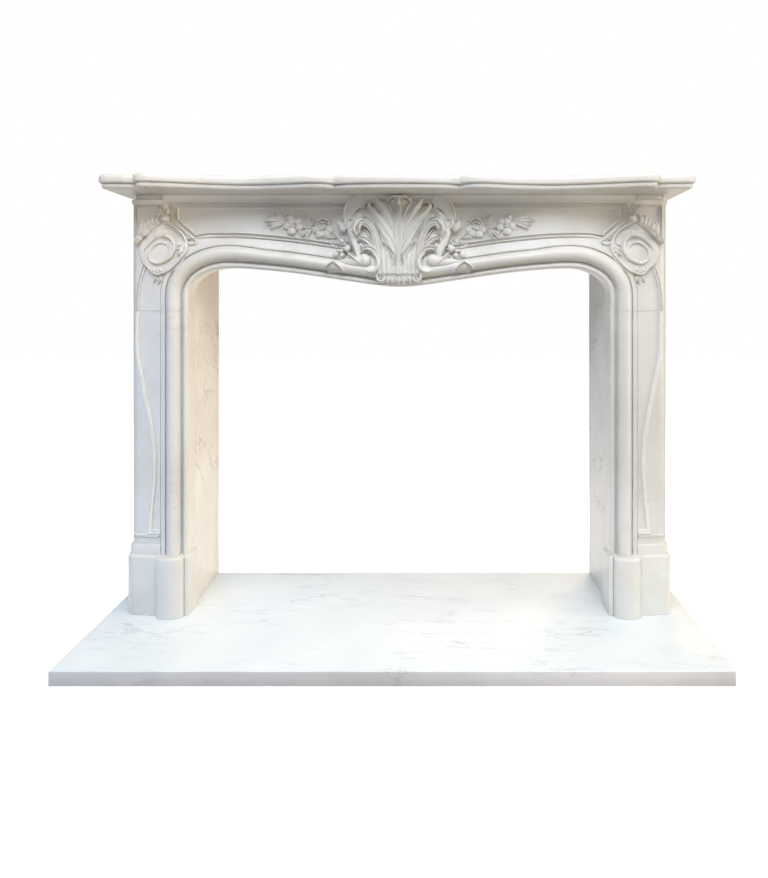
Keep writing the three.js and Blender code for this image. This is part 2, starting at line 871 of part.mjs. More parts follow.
// The shelf's plan from the middle round the right ear to the back.
// Each point is a share of half the shelf's width and a projection in front of the jambs' face.
const SHELF_HALF = OUTER_HALF + SHELF_OVERHANG;
const SHELF_FLARE = 19;

function shelfOutline() {
  const through = (points, count) =>
    smooth(
      points.map(([share, projection]) => [SHELF_HALF * share, FACE_Y - projection]),
      count,
    );
  const bow = through(
    [
      [0, 107],
      [0.1, 104],
      [0.175, 96],
      [0.206, 79],
    ],
    5,
  );
  const sweep = through(
    [
      [0.219, 90],
      [0.245, 109],
      [0.3, 111],
      [0.4, 92],
      [0.52, 81],
      [0.66, 100],
      [0.79, 126],
      [0.85, 133],
      [0.872, 124],
      [0.885, 96],
    ],
    17,
  );
  const ear = through(
    [
      [0.9, 104],
      [0.95, 109],
      [0.985, 109],
      [1, 98],
      [1.002, 60],
    ],
    7,
  );
  return [...bow, ...sweep, ...ear, [SHELF_HALF + SHELF_FLARE, BACK_Y]];
}

// The shelf's edge from the top: thumb moulding, quirk, fillet and ovolo, as inset and height.
const SHELF_EDGE = [
  [22, SHELF_THICK],
  [9, SHELF_THICK - 3],
  [1, SHELF_THICK - 11],
  [1, SHELF_THICK - 19],
  [7, SHELF_THICK - 23],
  [9, 5],
  [15, 0],
];

function shelf() {
  const half = shelfOutline();
  const whole = [...mirrored(half.slice(1)).reverse(), ...half];
  const normals = normalsOf(whole);
  const end = whole.length - 1;
  const rings = SHELF_EDGE.map(([inset, z]) =>
    whole.map(([x, y], i) => {
      const [nx, ny] = i === 0 || i === end ? [-Math.sign(x), 0] : normals[i];
      return [x + nx * inset, y + ny * inset, SOFFIT_HEIGHT + z];
    }),
  );
  return loft(rings, whole);
}

// A plain slab from the jamb's back to the wall.
function returnSlab(innerX) {
  const front = CORE_Y + GAP;
  return planPrism(
    [
      [innerX, front],
      [innerX + RETURN_THICK, front],
      [innerX + RETURN_THICK, BACK_Y],
      [innerX, BACK_Y],
    ],
    GAP,
    SOFFIT_HEIGHT - GAP,
  );
}

// One marble, in the tints of its carved pieces and of its sawn slabs.
function marble(color, roughness) {
  return new THREE.MeshStandardMaterial({ color, roughness, metalness: 0 });
}

function piece(name, geometry, material) {
  const mesh = new THREE.Mesh(geometry, material);
  mesh.name = name;
  return mesh;
}

// A right-hand piece and its mirror image, each in marble of its own.
function pair(name, solid, color, roughness) {
  return [
    piece("right_" + name, geometryOf(solid), marble(color, roughness)),
    piece("left_" + name, geometryOf(turnedOver(solid)), marble(color, roughness)),
  ];
}

const CARVED = [0xe9e5de, 0.42];
const SAWN = [0xefedea, 0.32];

const mantel = new THREE.Group();
mantel.position.z = HEARTH_THICK;
mantel.add(
  ...pair("plinth", plinth(), ...CARVED),
  ...pair("jamb", jamb(), ...CARVED),
  ...pair("inner_return", returnSlab(OPENING_HALF + RETURN_SETBACK), ...SAWN),
  ...pair("outer_return", returnSlab(OUTER_HALF - RETURN_SETBACK - RETURN_THICK), ...SAWN),
  piece("frieze", geometryOf(frieze()), marble(...CARVED)),
  piece("shelf", geometryOf(shelf()), marble(...CARVED)),
);

const slab = new THREE.BoxGeometry(HEARTH_WIDTH, HEARTH_DEPTH, HEARTH_THICK);
const fireplace = new THREE.Group();
fireplace.add(piece("hearth", slab.translate(0, 0, HEARTH_THICK / 2), marble(...SAWN)), mantel);

export default fireplace;
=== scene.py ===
import math

import bpy
import numpy as np
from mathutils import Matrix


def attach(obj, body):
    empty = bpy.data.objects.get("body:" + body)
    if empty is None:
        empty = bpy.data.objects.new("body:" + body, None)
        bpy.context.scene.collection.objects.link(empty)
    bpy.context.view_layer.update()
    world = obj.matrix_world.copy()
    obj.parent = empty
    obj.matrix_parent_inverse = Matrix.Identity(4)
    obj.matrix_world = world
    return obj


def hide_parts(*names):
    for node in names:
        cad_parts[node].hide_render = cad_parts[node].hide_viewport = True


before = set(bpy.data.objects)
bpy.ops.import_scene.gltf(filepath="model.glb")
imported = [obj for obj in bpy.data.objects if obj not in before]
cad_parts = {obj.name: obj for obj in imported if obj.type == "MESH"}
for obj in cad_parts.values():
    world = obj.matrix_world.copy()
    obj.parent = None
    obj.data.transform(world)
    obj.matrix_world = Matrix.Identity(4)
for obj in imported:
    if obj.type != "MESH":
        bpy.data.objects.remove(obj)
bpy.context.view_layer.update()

SCENE = bpy.context.scene
MM = 0.001
RISE = 35.0  # thickness of the hearth slab, whose top is the zero of all heights below
GAP = 0.3  # the working gap at every joint

# Heights.
PLINTH = 158.0
JOINT = PLINTH + 646.0  # where the frieze stands on the jambs
SOFFIT = JOINT + 310.0  # the underside of the shelf
SHELF_THICK = 36.0

# The opening.
OPENING = 561.0
CORNER_X = 106.0
CORNER_Z = 73.0
ARCH_HIGH = JOINT + 42.0 + CORNER_Z
ARCH_LOW = ARCH_HIGH - 50.0

# Depths, from the front backwards.
FACE = 6.0  # the jambs' face at its inner side
STILE = 17.0  # the margin round the sunk panel
GROUND = 22.0  # the sunk panel
CORE = 60.0  # the back of the jambs and the frieze
BACK = 285.0  # the wall
REAR = CORE - 1.0  # the back of shapes that overlap the frieze's ground, so that no two faces share a plane
BEDDED = REAR - 20.0  # the back of small mouldings let into those shapes
KEEL = 9.0  # how deep carved work reaches into the stone behind it

# The jambs and the moulding round the opening.
OUTER = OPENING + 157.0
ROUND = 28.0  # radius of the jamb's outer corner
SLOPE = 6.0  # how far the face falls back on its way outwards
TORUS = 23.0  # how far the big round of the moulding stands out
TORUS_START = 18.0  # where the big round begins, from the opening's edge
TORUS_FRONT = FACE - TORUS
JAMB_TORUS = 38.0  # widths of the big round: on the jamb, at the arch's corner and at its middle
CORNER_TORUS = 40.0
ARCH_TORUS = 34.0
FACE_INNER = OPENING + 73.0  # where the moulding ends and the jamb's face begins


# Lines. A line is an array of points, each (x, height) in front view or (x, depth) in plan.


def resample(line, count):
    """The same line with count points, equally far apart along it."""
    line = np.asarray(line, float)
    run = np.concatenate([[0], np.cumsum(np.linalg.norm(np.diff(line, axis=0), axis=1))])
    s = np.linspace(0, run[-1], count)
    return np.stack([np.interp(s, run, line[:, i]) for i in range(line.shape[1])], 1)


def spline(points, count):
    """A Catmull-Rom curve: between two points a cubic, whose slope at each is half the step between the
    point's neighbours."""
    p = np.asarray(points, float)
    ext = np.vstack([2 * p[0] - p[1], p, 2 * p[-1] - p[-2]])
    t = np.linspace(0, len(p) - 1, 30 * len(p))
    k = np.minimum(t.astype(int), len(p) - 2)
    f = (t - k)[:, None]
    a, b, c, d = ext[k], ext[k + 1], ext[k + 2], ext[k + 3]
    square = 2 * a - 5 * b + 4 * c - d
    cube = 3 * b - a - 3 * c + d
    return resample(0.5 * (2 * b + (c - a) * f + square * f**2 + cube * f**3), count)


def mitres(line):
    """At each point the mean of the two normals on the left, long enough that an offset keeps its width."""
    line = np.asarray(line, float)
    step = np.diff(line, axis=0)
    step /= np.linalg.norm(step, axis=1)[:, None]
    n = np.stack([-step[:, 1], step[:, 0]], 1)
    before = np.vstack([n[:1], n])
    after = np.vstack([n, n[-1:]])
    return (before + after) / np.maximum(1 + np.sum(before * after, 1), 0.5)[:, None]


def quarter(count):
    """Angles from nought to a right angle."""
    return np.linspace(0, math.pi / 2, count)


def eased(t):
    """Nought to one with level ends: three t squared less two t cubed."""
    t = np.clip(t, 0, 1)
    return t * t * (3 - 2 * t)


# Closed surfaces. A shape is (vertices, face blocks), and a face block is an array with one face a row.


def loft(rings):
    """Closed rings of points one behind another, with quads between neighbours and a flat face on each end.
    The faces are turned round if the volume inside comes out negative."""
    rings = np.asarray(rings, float)
    number, count = rings.shape[:2]
    index = np.arange(number * count).reshape(number, count)
    turned = np.roll(index, -1, 1)
    quads = np.stack([index[:-1], turned[:-1], turned[1:], index[1:]], -1).reshape(-1, 4)
    blocks = [quads, index[:1, ::-1], index[-1:]]
    verts = rings.reshape(-1, 3)
    volume = 0.0
    for block in blocks:
        p = verts[block]
        first, middle, last = p[:, :1], p[:, 1:-1], p[:, 2:]
        volume += np.sum(np.cross(middle, last) * first)
    return verts, blocks if volume > 0 else [block[:, ::-1] for block in blocks]


def mirrored(shape):
    """The same surface on the other side of the middle, still facing out."""
    verts, blocks = shape
    return verts * [-1, 1, 1], [block[:, ::-1] for block in blocks]


def both(shapes):
    """The shapes and their mirror images."""
    return [*shapes, *map(mirrored, shapes)]


def pillar(plans, heights):
    """Outlines in plan, each (x, depth), one above another."""
    return loft([np.c_[plan, np.full(len(plan), h)] for plan, h in zip(plans, heights)])


def moulding(line, sections):
    """One section of (distance, depth) points, or one for each point, carried along a front-view line. Each
    distance is laid off along the mitre."""
    n = mitres(line)
    x = line[:, :1] + n[:, :1] * sections[..., 0]
    z = line[:, 1:] + n[:, 1:] * sections[..., 0]
    return loft(np.stack([x, np.broadcast_to(sections[..., 1], x.shape), z], -1))


def plate(outline, front, back, ease=1.2):
    """A flat slab over a front-view outline, its front edge eased by an inset."""
    o = np.asarray(outline, float)
    n = mitres(np.vstack([o[-1:], o, o[:1]]))[1:-1]
    area = np.sum(o[:, 0] * np.roll(o[:, 1], -1) - o[:, 1] * np.roll(o[:, 0], -1))
    inward = n if area > 0 else -n
    levels = [(0, back), (0, front + ease), (0.3 * ease, front + 0.3 * ease), (ease, front)]
    return loft([np.insert(o + inward * inset, 1, depth, 1) for inset, depth in levels])


# Cross-sections of carved work: the height as a share, for u from -1 to 1 across.


def rounded(u):
    """Half round."""
    return np.sqrt(np.clip(1 - u * u, 0, 1))


def grooved(u):
    """Two rolls with a valley between them."""
    a = np.abs(u)
    return (1 - a**6) * (0.62 + 0.38 * np.sin(math.pi * a) ** 1.2)


def dished(u):
    """Raised rims with a shallow dish between them."""
    a = np.abs(u)
    return (1 - a**10) * (0.55 + 0.45 * a**2.5)


def fluted(u):
    """A rounded band with shallow hollows along it."""
    return (1 - np.abs(u) ** 5) * (0.86 + 0.14 * np.cos(3 * math.pi * u))


def finger(u):
    """A soft ridge, full at the middle and falling in a hollow to thin edges."""
    a = np.abs(u)
    return 0.5 * (1 - a**2) + 0.5 * (1 - a) ** 1.3


def strap(u):
    """A flat band with bevelled edges and a fine lip on its left."""
    a = np.abs(u)
    return np.clip((1 - a) * 6, 0, 1) * (0.8 + 0.2 * np.exp(-(((u - 0.8) / 0.1) ** 2)))


# Carved work. A base is a depth, or a function that gives the depth at a place.


def along(values, t):
    """Values given at equal steps, or as a function, read at the shares t."""
    if callable(values):
        return values(t)
    values = np.atleast_1d(np.asarray(values, float))
    return np.interp(t, np.linspace(0, 1, len(values)), values)


def carve(points, width, high, base=GROUND, shape=rounded, lobes=0, sweep=0.0, count=34, across=13):
    """Raised work along a curve through the points. Place: spine + normal * half width * u. Depth: base -
    high * shape(u). Lobes scallop both edges by a fifth and draw the veins between them, and sweep carries
    the edges forward along the spine. A keel joins it to the stone."""
    line = spline(points, count)
    t = np.linspace(0, 1, count)[:, None]
    u = np.sin(np.linspace(-math.pi / 2, math.pi / 2, across))[None, :]
    n = mitres(line)
    forward = np.stack([n[:, 1], -n[:, 0]], 1)
    half = along(width, t) / 2
    rise = along(high, t)
    notch = (0.5 + 0.5 * np.cos(2 * math.pi * lobes * t)) ** 3 if lobes else 0 * t
    reach = half * (1 - 0.2 * notch) * u
    ahead = sweep * half * np.abs(u) ** 1.5
    x = line[:, :1] + n[:, :1] * reach + forward[:, :1] * ahead
    z = line[:, 1:] + n[:, 1:] * reach + forward[:, 1:] * ahead
    ground = base(x, z) if callable(base) else np.full_like(x, base)
    y = ground - rise * shape(u) * (1 - 0.55 * notch * np.abs(u))
    keel = line[:, None, :] + n[:, None, :] * (half * np.array([0.6, -0.6]))[:, :, None]
    keel_y = ground[:, [-1, 0]] + KEEL
    rings = [np.stack([x, y, z], -1), np.stack([keel[..., 0], keel_y, keel[..., 1]], -1)]
    return loft(np.concatenate(rings, 1))


def leaf(root, tip, width, high, bow=0.1, base=GROUND, shape=grooved, curl=0.3):
    """A pointed leaf from root to tip, bowed to its left by a share of its length. Its width swells to the
    middle and runs out, and its height swells the same way with its tip kept up by curl."""
    span = tip - root
    middle = (root + tip) / 2 + np.array([-span[1], span[0]]) * bow

    def breadth(t):
        return width * (0.1 + 0.9 * np.sin(math.pi * t**0.8) ** 0.8) * (1 - 0.12 * t)

    def lift(t):
        return high * (0.5 + 0.5 * np.sin(math.pi * t * (1 - curl)))

    return carve([root, middle, tip], breadth, lift, base, shape, sweep=0.35, count=24)


def boss(centre, radius, high, base=GROUND, tall=1.0):
    """Half a ball: radius times the cosine and height times the sine of one angle. Tall stretches it upwards
    in front view."""
    ground = base(*centre) if callable(base) else base
    a = np.linspace(0, math.pi / 2 * 0.94, 8)
    turn = np.linspace(0, 2 * math.pi, 28, endpoint=False)
    r = np.concatenate([[radius * 0.9], radius * np.cos(a)])[:, None]
    y = np.concatenate([[ground + KEEL], ground - high * np.sin(a)])[:, None] + 0 * turn
    x = centre[0] + r * np.cos(turn)
    z = centre[1] + r * np.sin(turn) * tall
    return loft(np.stack([x, y, z], -1))


def petals(centre, radius, high):
    """One whorl of petals. Radius swells over each as the root of a cosine, with small ruffles. Height rises
    from the heart to the rim as a cup, with the seams between petals sunk."""
    number = 6
    ruffles = 5 * number
    turn = 0.3
    cup = 0.75
    lean_x = 0.05
    lean_z = -0.08
    rho = np.concatenate([[1.0], np.linspace(1.0, 0.08, 12)])[:, None]
    angle = np.linspace(0, 2 * math.pi, 20 * number, endpoint=False)[None, :]
    petal = np.abs(np.cos(number * (angle - turn) / 2)) ** 0.55
    wave = np.cos(ruffles * angle)
    r = radius * rho * (0.6 + 0.4 * petal) * (1 + 0.08 * wave * rho**3)
    rise = high * (cup + (1 - cup) * rho**1.5) * (0.55 + 0.45 * petal) * (1 + 0.18 * wave * rho)
    rise = rise * np.clip((1 - rho) * 8 + 0.35, 0, 1)
    x = centre[0] + r * np.cos(angle)
    z = centre[1] + r * np.sin(angle)
    y = GROUND - rise - lean_x * (x - centre[0]) - lean_z * (z - centre[1])
    y[0] = GROUND + KEEL - 1
    return loft(np.stack([x, y, z], -1))


def spiral(centre, radii, start, turns):
    """Points round a centre: the radius runs through the given values while the angle turns."""
    t = np.linspace(0, 1, 26)
    r = along(radii, t)
    a = start + 2 * math.pi * turns * t
    return np.c_[centre[0] + r * np.cos(a), centre[1] + r * np.sin(a)]


def strokes(rows, at, base=GROUND, shape=rounded, **settings):
    """Carved ribbons that share a ground and a cross-section. A row is a spine, its widths and its heights,
    and the spine is counted from the place at."""
    return [carve(np.add(points, at), width, high, base, shape, **settings) for points, width, high in rows]


def foliage(rows, at, base=GROUND, shape=grooved, curl=0.3):
    """Leaves that share a ground and a cross-section. A row is root, tip, width, height and maybe bow."""
    kind = {"base": base, "shape": shape, "curl": curl}
    return [leaf(np.add(root, at), np.add(tip, at), *sizes, **kind) for root, tip, *sizes in rows]


def bosses(rows, at, base=GROUND, tall=1.0):
    """Half balls that share a ground. A row is a place across and upwards, a radius and a height."""
    return [boss(np.add((x, z), at), radius, high, base, tall) for x, z, radius, high in rows]


def add_object(name, data):
    """A new object in the scene."""
    obj = bpy.data.objects.new(name, data)
    SCENE.collection.objects.link(obj)
    return obj


def build(name, shapes, material, nodes=(), crease=38):
    """One object in metres from several closed surfaces, riding on the one rigid body."""
    verts, faces, start = [], [], 0
    for points, blocks in shapes:
        verts.append(points)
        for block in blocks:
            faces.extend((block + start).tolist())
        start += len(points)
    co = np.vstack(verts)
    co[:, 2] += RISE
    mesh = bpy.data.meshes.new(name)
    mesh.from_pydata((co * MM).tolist(), [], faces)
    mesh.materials.append(material)
    mesh.shade_smooth()
    mesh.set_sharp_from_angle(angle=math.radians(crease))
    obj = add_object(name, mesh)
    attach(obj, "root")
    if nodes:
        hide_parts(*nodes)


# Marble.


def colour(text):
    """sRGB hex to linear RGBA."""
    c = np.array([int(text[i : i + 2], 16) / 255 for i in (1, 3, 5)])
    c = np.where(c <= 0.04045, c / 12.92, ((c + 0.055) / 1.055) ** 2.4)
    return (*c.tolist(), 1.0)


def grey(value):
    """A grey of one linear value."""
    return (value, value, value, 1.0)


def add_node(tree, kind, links=None, stops=(), **settings):
    """Adds a shader node. A setting names an attribute or an input, with inN for an input by its number.
    Links map inputs to sockets that feed them, or to nodes whose first socket does. Stops are the places and
    colours of a ramp."""
    node = tree.nodes.new("ShaderNode" + kind)
    for key, value in settings.items():
        label = key.replace("_", " ")
        if label in node.inputs:
            node.inputs[label].default_value = value
        elif key[:2] == "in" and key[2:].isdigit():
            node.inputs[int(key[2:])].default_value = value
        else:
            setattr(node, key, value)
    for key, source in (links or {}).items():
        socket = source.outputs[0] if isinstance(source, bpy.types.Node) else source
        tree.links.new(socket, node.inputs[key])
    if stops:
        band = node.color_ramp.elements
        while len(band) < len(stops):
            band.new(0.5)
        for element, (place, value) in zip(band, stops):
            element.position = place
            element.color = value
    return node


def marble(name, pale, warm, vein, turn, drawn_out, vein_gap, vein_share, gloss):
    """Calcite ground with soft clouds a few hundred millimetres across, thin wandering veins of clay about
    vein_gap metres apart that come and go, and scattered dark grains of a millimetre or two. The veins are
    drawn out along the axis with the least share in drawn_out."""
    material = bpy.data.materials.new(name)
    material.use_nodes = True
    tree = material.node_tree
    tree.nodes.clear()
    cloud_size = 0.22
    grain_gap = 0.014
    crystal_size = 0.0012
    place = add_node(tree, "TexCoord").outputs["Object"]
    turned = add_node(tree, "Mapping", {"Vector": place}, Rotation=turn)
    drawn = add_node(tree, "Mapping", {"Vector": turned}, Scale=drawn_out)
    clouds = add_node(tree, "TexNoise", {"Vector": turned}, Scale=1 / cloud_size, Detail=5.0, Roughness=0.6)
    ground = add_node(tree, "ValToRGB", {"Fac": clouds}, [(0.34, colour(warm)), (0.66, colour(pale))])
    # A vein runs where a slow noise crosses its middle value.
    wander = {"Detail": 6.0, "Roughness": 0.62, "Distortion": 0.5}
    drift = add_node(tree, "TexNoise", {"Vector": drawn}, Scale=0.45 / vein_gap, **wander)
    centred = add_node(tree, "Math", {0: drift}, operation="SUBTRACT", in1=0.5)
    near = add_node(tree, "Math", {0: centred}, operation="ABSOLUTE")
    fading = [(0.0, grey(1.0)), (0.005, grey(0.4)), (0.02, grey(0.0))]
    line = add_node(tree, "ValToRGB", {"Fac": near}, fading)
    patch = add_node(tree, "TexNoise", {"Vector": turned}, Scale=1.5 / cloud_size, Detail=2.0)
    where = add_node(tree, "ValToRGB", {"Fac": patch}, [(0.44, grey(0.0)), (0.66, grey(1.0))])
    veins = add_node(tree, "Math", {0: line, 1: where}, operation="MULTIPLY")
    soft = add_node(tree, "Math", {0: veins}, operation="MULTIPLY", in1=vein_share)
    veined = add_node(tree, "Mix", {0: soft, 6: ground}, data_type="RGBA", in7=colour(vein))
    # Of the cells a grain could sit in, only a few hold one.
    grains = add_node(tree, "TexVoronoi", {"Vector": turned}, Scale=1 / grain_gap)
    rare = add_node(tree, "TexNoise", {"Vector": turned}, Scale=0.35 / grain_gap, Detail=1.0)
    dot = add_node(tree, "ValToRGB", {"Fac": grains}, [(0.05, grey(1.0)), (0.1, grey(0.0))])
    seldom = add_node(tree, "ValToRGB", {"Fac": rare}, [(0.66, grey(0.0)), (0.7, grey(1.0))])
    specks = add_node(tree, "Math", {0: dot, 1: seldom}, operation="MULTIPLY")
    faint = add_node(tree, "Math", {0: specks}, operation="MULTIPLY", in1=0.5)
    speckled = add_node(
        tree, "Mix", {0: faint, 6: veined.outputs[2]}, data_type="RGBA", in7=colour("#5d564d")
    )
    crystal = add_node(tree, "TexNoise", {"Vector": place}, Scale=1 / crystal_size, Detail=2.0)
    bump = add_node(tree, "Bump", {"Height": crystal}, Strength=0.05, Distance=0.0006)
    rough = add_node(tree, "MapRange", {"Value": clouds}, in3=gloss - 0.05, in4=gloss + 0.07)
    feeds = {"Base Color": speckled.outputs[2], "Roughness": rough, "Normal": bump}
    shader = add_node(tree, "BsdfPrincipled", feeds, IOR=1.49)
    add_node(tree, "OutputMaterial", {"Surface": shader})
    return material


UPRIGHT = (1.0, 1.0, 2.4)
CARVED_TURN = (0.3, 0.5, 0.9)
HEARTH_TURN = (0.0, 0.0, 0.08)
ALONG_HEARTH = (0.4, 2.4, 1.0)
# Cream-white marble, carved and honed: a soft sheen, with faint grey-brown veins.
CARVED = marble(
    "honed_cream_marble", "#dbdad4", "#cfccc4", "#9b8f80", CARVED_TURN, UPRIGHT, 0.16, 0.22, 0.4
)
# The same stone, a little smoother, painted paler on the jambs' fine raised lines: a painted highlight where
# they would catch the light.
PAINTED_HIGHLIGHT = marble(
    "cream_marble_painted_highlight", "#f0efe9", "#e6e4dd", "#b5aa9c", CARVED_TURN, UPRIGHT, 0.16, 0.2, 0.36
)
# White marble, sawn and polished: cooler, with fine grey veins that run along the hearth.
HEARTH = marble(
    "polished_white_marble", "#e6ebec", "#dde4e6", "#a3a9b2", HEARTH_TURN, ALONG_HEARTH, 0.075, 0.6, 0.45
)
# Cream marble, sawn and honed: slanting brown veins on the side slabs.
SIDE = marble(
    "sawn_cream_marble", "#dddad2", "#d0cac0", "#8c7761", (0.9, 0.2, 0.3), UPRIGHT, 0.13, 0.7, 0.4
)
# The hearth slab's front edge is rougher than its top, and greyer: painted shade on the front face, which
# the light from above reaches less.
PAINTED_SHADE_EDGE = marble(
    "edge_marble_painted_shade", "#dad8d5", "#cdcac8", "#a09c9a", HEARTH_TURN, ALONG_HEARTH, 0.075, 0.5, 0.6
)


# The moulding round the opening.


def half_opening_edge():
    """Up the right jamb, a quarter ellipse over the corner, then a long wave down to the arch's middle."""
    a = quarter(28)
    corner = np.c_[OPENING - CORNER_X * (1 - np.cos(a)), ARCH_HIGH - CORNER_Z * (1 - np.sin(a))]
    run = OPENING - CORNER_X
    shares = [(1.12, -0.01), (1, 0), (0.88, 0.04), (0.63, 0.26), (0.35, 0.63), (0.12, 0.93), (0, 1)]
    shares.append((-0.12, 0.93))
    wave = spline([(run * x, ARCH_HIGH - (ARCH_HIGH - ARCH_LOW) * d) for x, d in shares], 150)
    wave = wave[(wave[:, 0] > 2) & (wave[:, 0] < run - 2)]
    return np.vstack([[[OPENING, JOINT + GAP]], corner, wave, [[0, ARCH_LOW]]])


def half_round(start, width, high, count, base=FACE):
    """Distance runs as one minus cosine and depth as sine."""
    a = np.linspace(0, math.pi, count)
    return np.c_[start + width / 2 * (1 - np.cos(a)), base - high * np.sin(a)]


def moulding_section(torus, outside):
    """From the opening outwards, as (distance, depth): bead, quirk, big round, then the points given."""
    bead = half_round(0.2, 13, 8, 9, FACE + 2)
    quirk = [(13.8, FACE + 3), (15.6, FACE + 5), (17.6, FACE + 2)]
    big_round = half_round(TORUS_START, torus, TORUS, 23)
    return np.vstack([[(0, CORE), (0, FACE + 2)], bead, quirk, big_round, outside])


# On the jamb a flat fillet between two grooves runs beside the round, and then the face begins.
FILLET = [(57, 3), (59.5, 3), (60, -3), (61, -4), (70.5, -4), (71.5, -3), (72, 2), (73.5, 2), (74, 0)]
FACE_START = [(80, 0), (86, 0), (92, 0)]
JAMB_MOULDING = moulding_section(JAMB_TORUS, [(d, FACE + y) for d, y in FILLET + FACE_START])


def arch_section(torus):
    """On the arch a thin fillet and a cove lead up from the round to the border of the sunk panel."""
    fillet = [(0.5, 2), (1.8, 2), (2, -1), (2.6, -2), (6, -2), (7, -1), (7.3, 3)]
    cove = [(72, 8), (78, 11.5), (84, 14), (90, GROUND - FACE - 0.5), (98, GROUND - FACE + 1)]
    outside = [(TORUS_START + torus + d, FACE + y) for d, y in fillet] + [(d, FACE + y) for d, y in cove]
    return moulding_section(torus, outside)


def arch_moulding():
    """The jamb's section turns into the arch's while the line rounds the corner, and its round narrows from
    there over a short run."""
    narrowing = 110.0
    line = half_opening_edge()
    share = eased((OPENING - line[:, 0]) / CORNER_X)[:, None, None]
    narrow = eased((OPENING - CORNER_X - line[:, 0]) / narrowing)[:, None, None]
    on_arch = arch_section(CORNER_TORUS) * (1 - narrow) + arch_section(ARCH_TORUS) * narrow
    sections = JAMB_MOULDING * (1 - share) + on_arch * share
    sections[:, 0, 1] = REAR
    back = sections[:, -1:, :] * [1, 0] + [0, REAR]
    return moulding(line, np.concatenate([sections, back], 1) * [-1, 1])


def frieze_ground():
    """The sunk panel's plane: a strip from just outside the opening's edge to the outer outline."""
    count = 130
    line = resample(half_opening_edge(), count)
    inner = line - mitres(line) * 0.5
    inner[-1, 0] = 0
    inner[0, 1] = JOINT + GAP
    corners = [(OUTER - ROUND, JOINT + GAP), (OUTER - ROUND, SOFFIT - GAP), (0, SOFFIT - GAP)]
    outer = resample(corners, count)
    edges = [(inner, GROUND), (outer, GROUND), (outer, CORE), (inner, CORE)]
    return loft(np.stack([np.insert(edge, 1, depth, 1) for edge, depth in edges], 1))


# The jamb's face in plan, carried up into the corner block.


def face_plan(inner, proud=0.0, side=0.0, back=CORE):
    """A face that falls back a little outwards, a quarter round and a straight side, as (x, depth)."""
    a = quarter(12)
    outer = OUTER + side
    front = FACE + SLOPE - proud
    arc = np.c_[outer - ROUND * (1 - np.sin(a)), front + ROUND * (1 - np.cos(a))]
    return np.vstack([[[inner, FACE - proud]], arc, [[outer, back]]])


def face_depth(x, z=0.0):
    """Depth of the jamb's face at a place across it."""
    plan = face_plan(FACE_INNER)
    return np.interp(np.abs(x), plan[:-1, 0], plan[:-1, 1])


# The border's outer corner, the nick below it, and the corner block with its inner side's ramp.
PANEL_X = OUTER - 120.5
NICK_X = OUTER - 172.0
NICK_TOP = SOFFIT - 67.0
NICK_LOW = SOFFIT - 112.5
BLOCK_X = PANEL_X + 19.0
RAMP_WIDE = 44.0
RAMP_END = BLOCK_X + 32.0
CAVETTO_HIGH = 24.0
BAND_HIGH = 19.0


def block_depth(x, z=0.0):
    """The corner block runs in from the stile's depth to the face's on a level-ended curve."""
    ramp = STILE + (FACE - STILE) * eased((x - RAMP_END + RAMP_WIDE) / RAMP_WIDE)
    return np.where(x > RAMP_END, face_depth(x), ramp)


def corner_block():
    """The jamb's face carried on above the joint. At its top runs a small moulding with a deep neck over it,
    both cut short of the block's inner end, where the moulding's foot slants out."""
    cut = BLOCK_X + 13.5
    top = SOFFIT - GAP
    shoulder = ARCH_HIGH - 6
    foot = SOFFIT - CAVETTO_HIGH - 3
    lower_inner = FACE_INNER + 6
    x = np.linspace(BLOCK_X - 14, cut, 9)
    inner = np.vstack([[[x[0], REAR]], np.c_[x, block_depth(x)], [[cut, REAR]]])

    def outer_plan(start, proud=0.0, back=REAR):
        x = np.linspace(start, RAMP_END, 8)
        ramp = np.c_[x, block_depth(x) - proud]
        return np.vstack([[[start, back]], ramp, face_plan(RAMP_END + 4, proud, proud / 2, back)])

    face = outer_plan(cut)
    lower = np.vstack([[[lower_inner, REAR]], face_plan(lower_inner, back=REAR)])
    # Heights above the small moulding's foot, and how far it stands out there.
    steps = [(-0.5, 0), (0.3, 1.5), (2, 2), (7, 4.5), (10, 5.5), (12.5, 5.2), (13.5, 4), (14, -4), (16, -9)]
    levels = [(foot + rise, proud) for rise, proud in steps] + [(top, -10)]
    starts = [cut - 14 * min(max((foot + 11 - h) / 9, 0), 1) for h, _ in levels]
    plans = [outer_plan(start, proud, BEDDED) for start, (_, proud) in zip(starts, levels)]
    return [
        pillar([inner, inner], [shoulder, top]),
        pillar([face, face], [shoulder, foot]),
        pillar([lower, lower], [JOINT + GAP, shoulder]),
        pillar(plans, [h for h, _ in levels]),
    ]


def top_band():
    """A cavetto across the sunk panel, under the shelf: a quarter circle hollow on a small fillet."""
    foot = SOFFIT - BAND_HIGH
    front = [(STILE, foot - 3), (STILE - 1.5, foot - 2.7)]
    for t in quarter(10):
        front.append((STILE - 1.5 - 9 * (1 - math.cos(t)), SOFFIT - BAND_HIGH * (1 - math.sin(t)) - GAP))
    section = np.array([(BEDDED, front[0][1]), *front, (BEDDED, front[-1][1])])
    ends = np.array([-BLOCK_X - 14, 0, BLOCK_X + 14])
    return loft(np.stack([np.insert(section, 0, x, 1) for x in ends]))


def double_line(width, high, base):
    """Two fine raised lines with a channel between them, as (distance, depth)."""
    w = width / 2
    inner = w - 0.24 * width
    crest = base - high
    half = [(w, base + 5), (w, crest + 1), (w - 0.8, crest), (inner + 0.8, crest)]
    half.append((inner, base - 0.08 * high))
    return np.array([(-d, y) for d, y in half] + half[::-1])


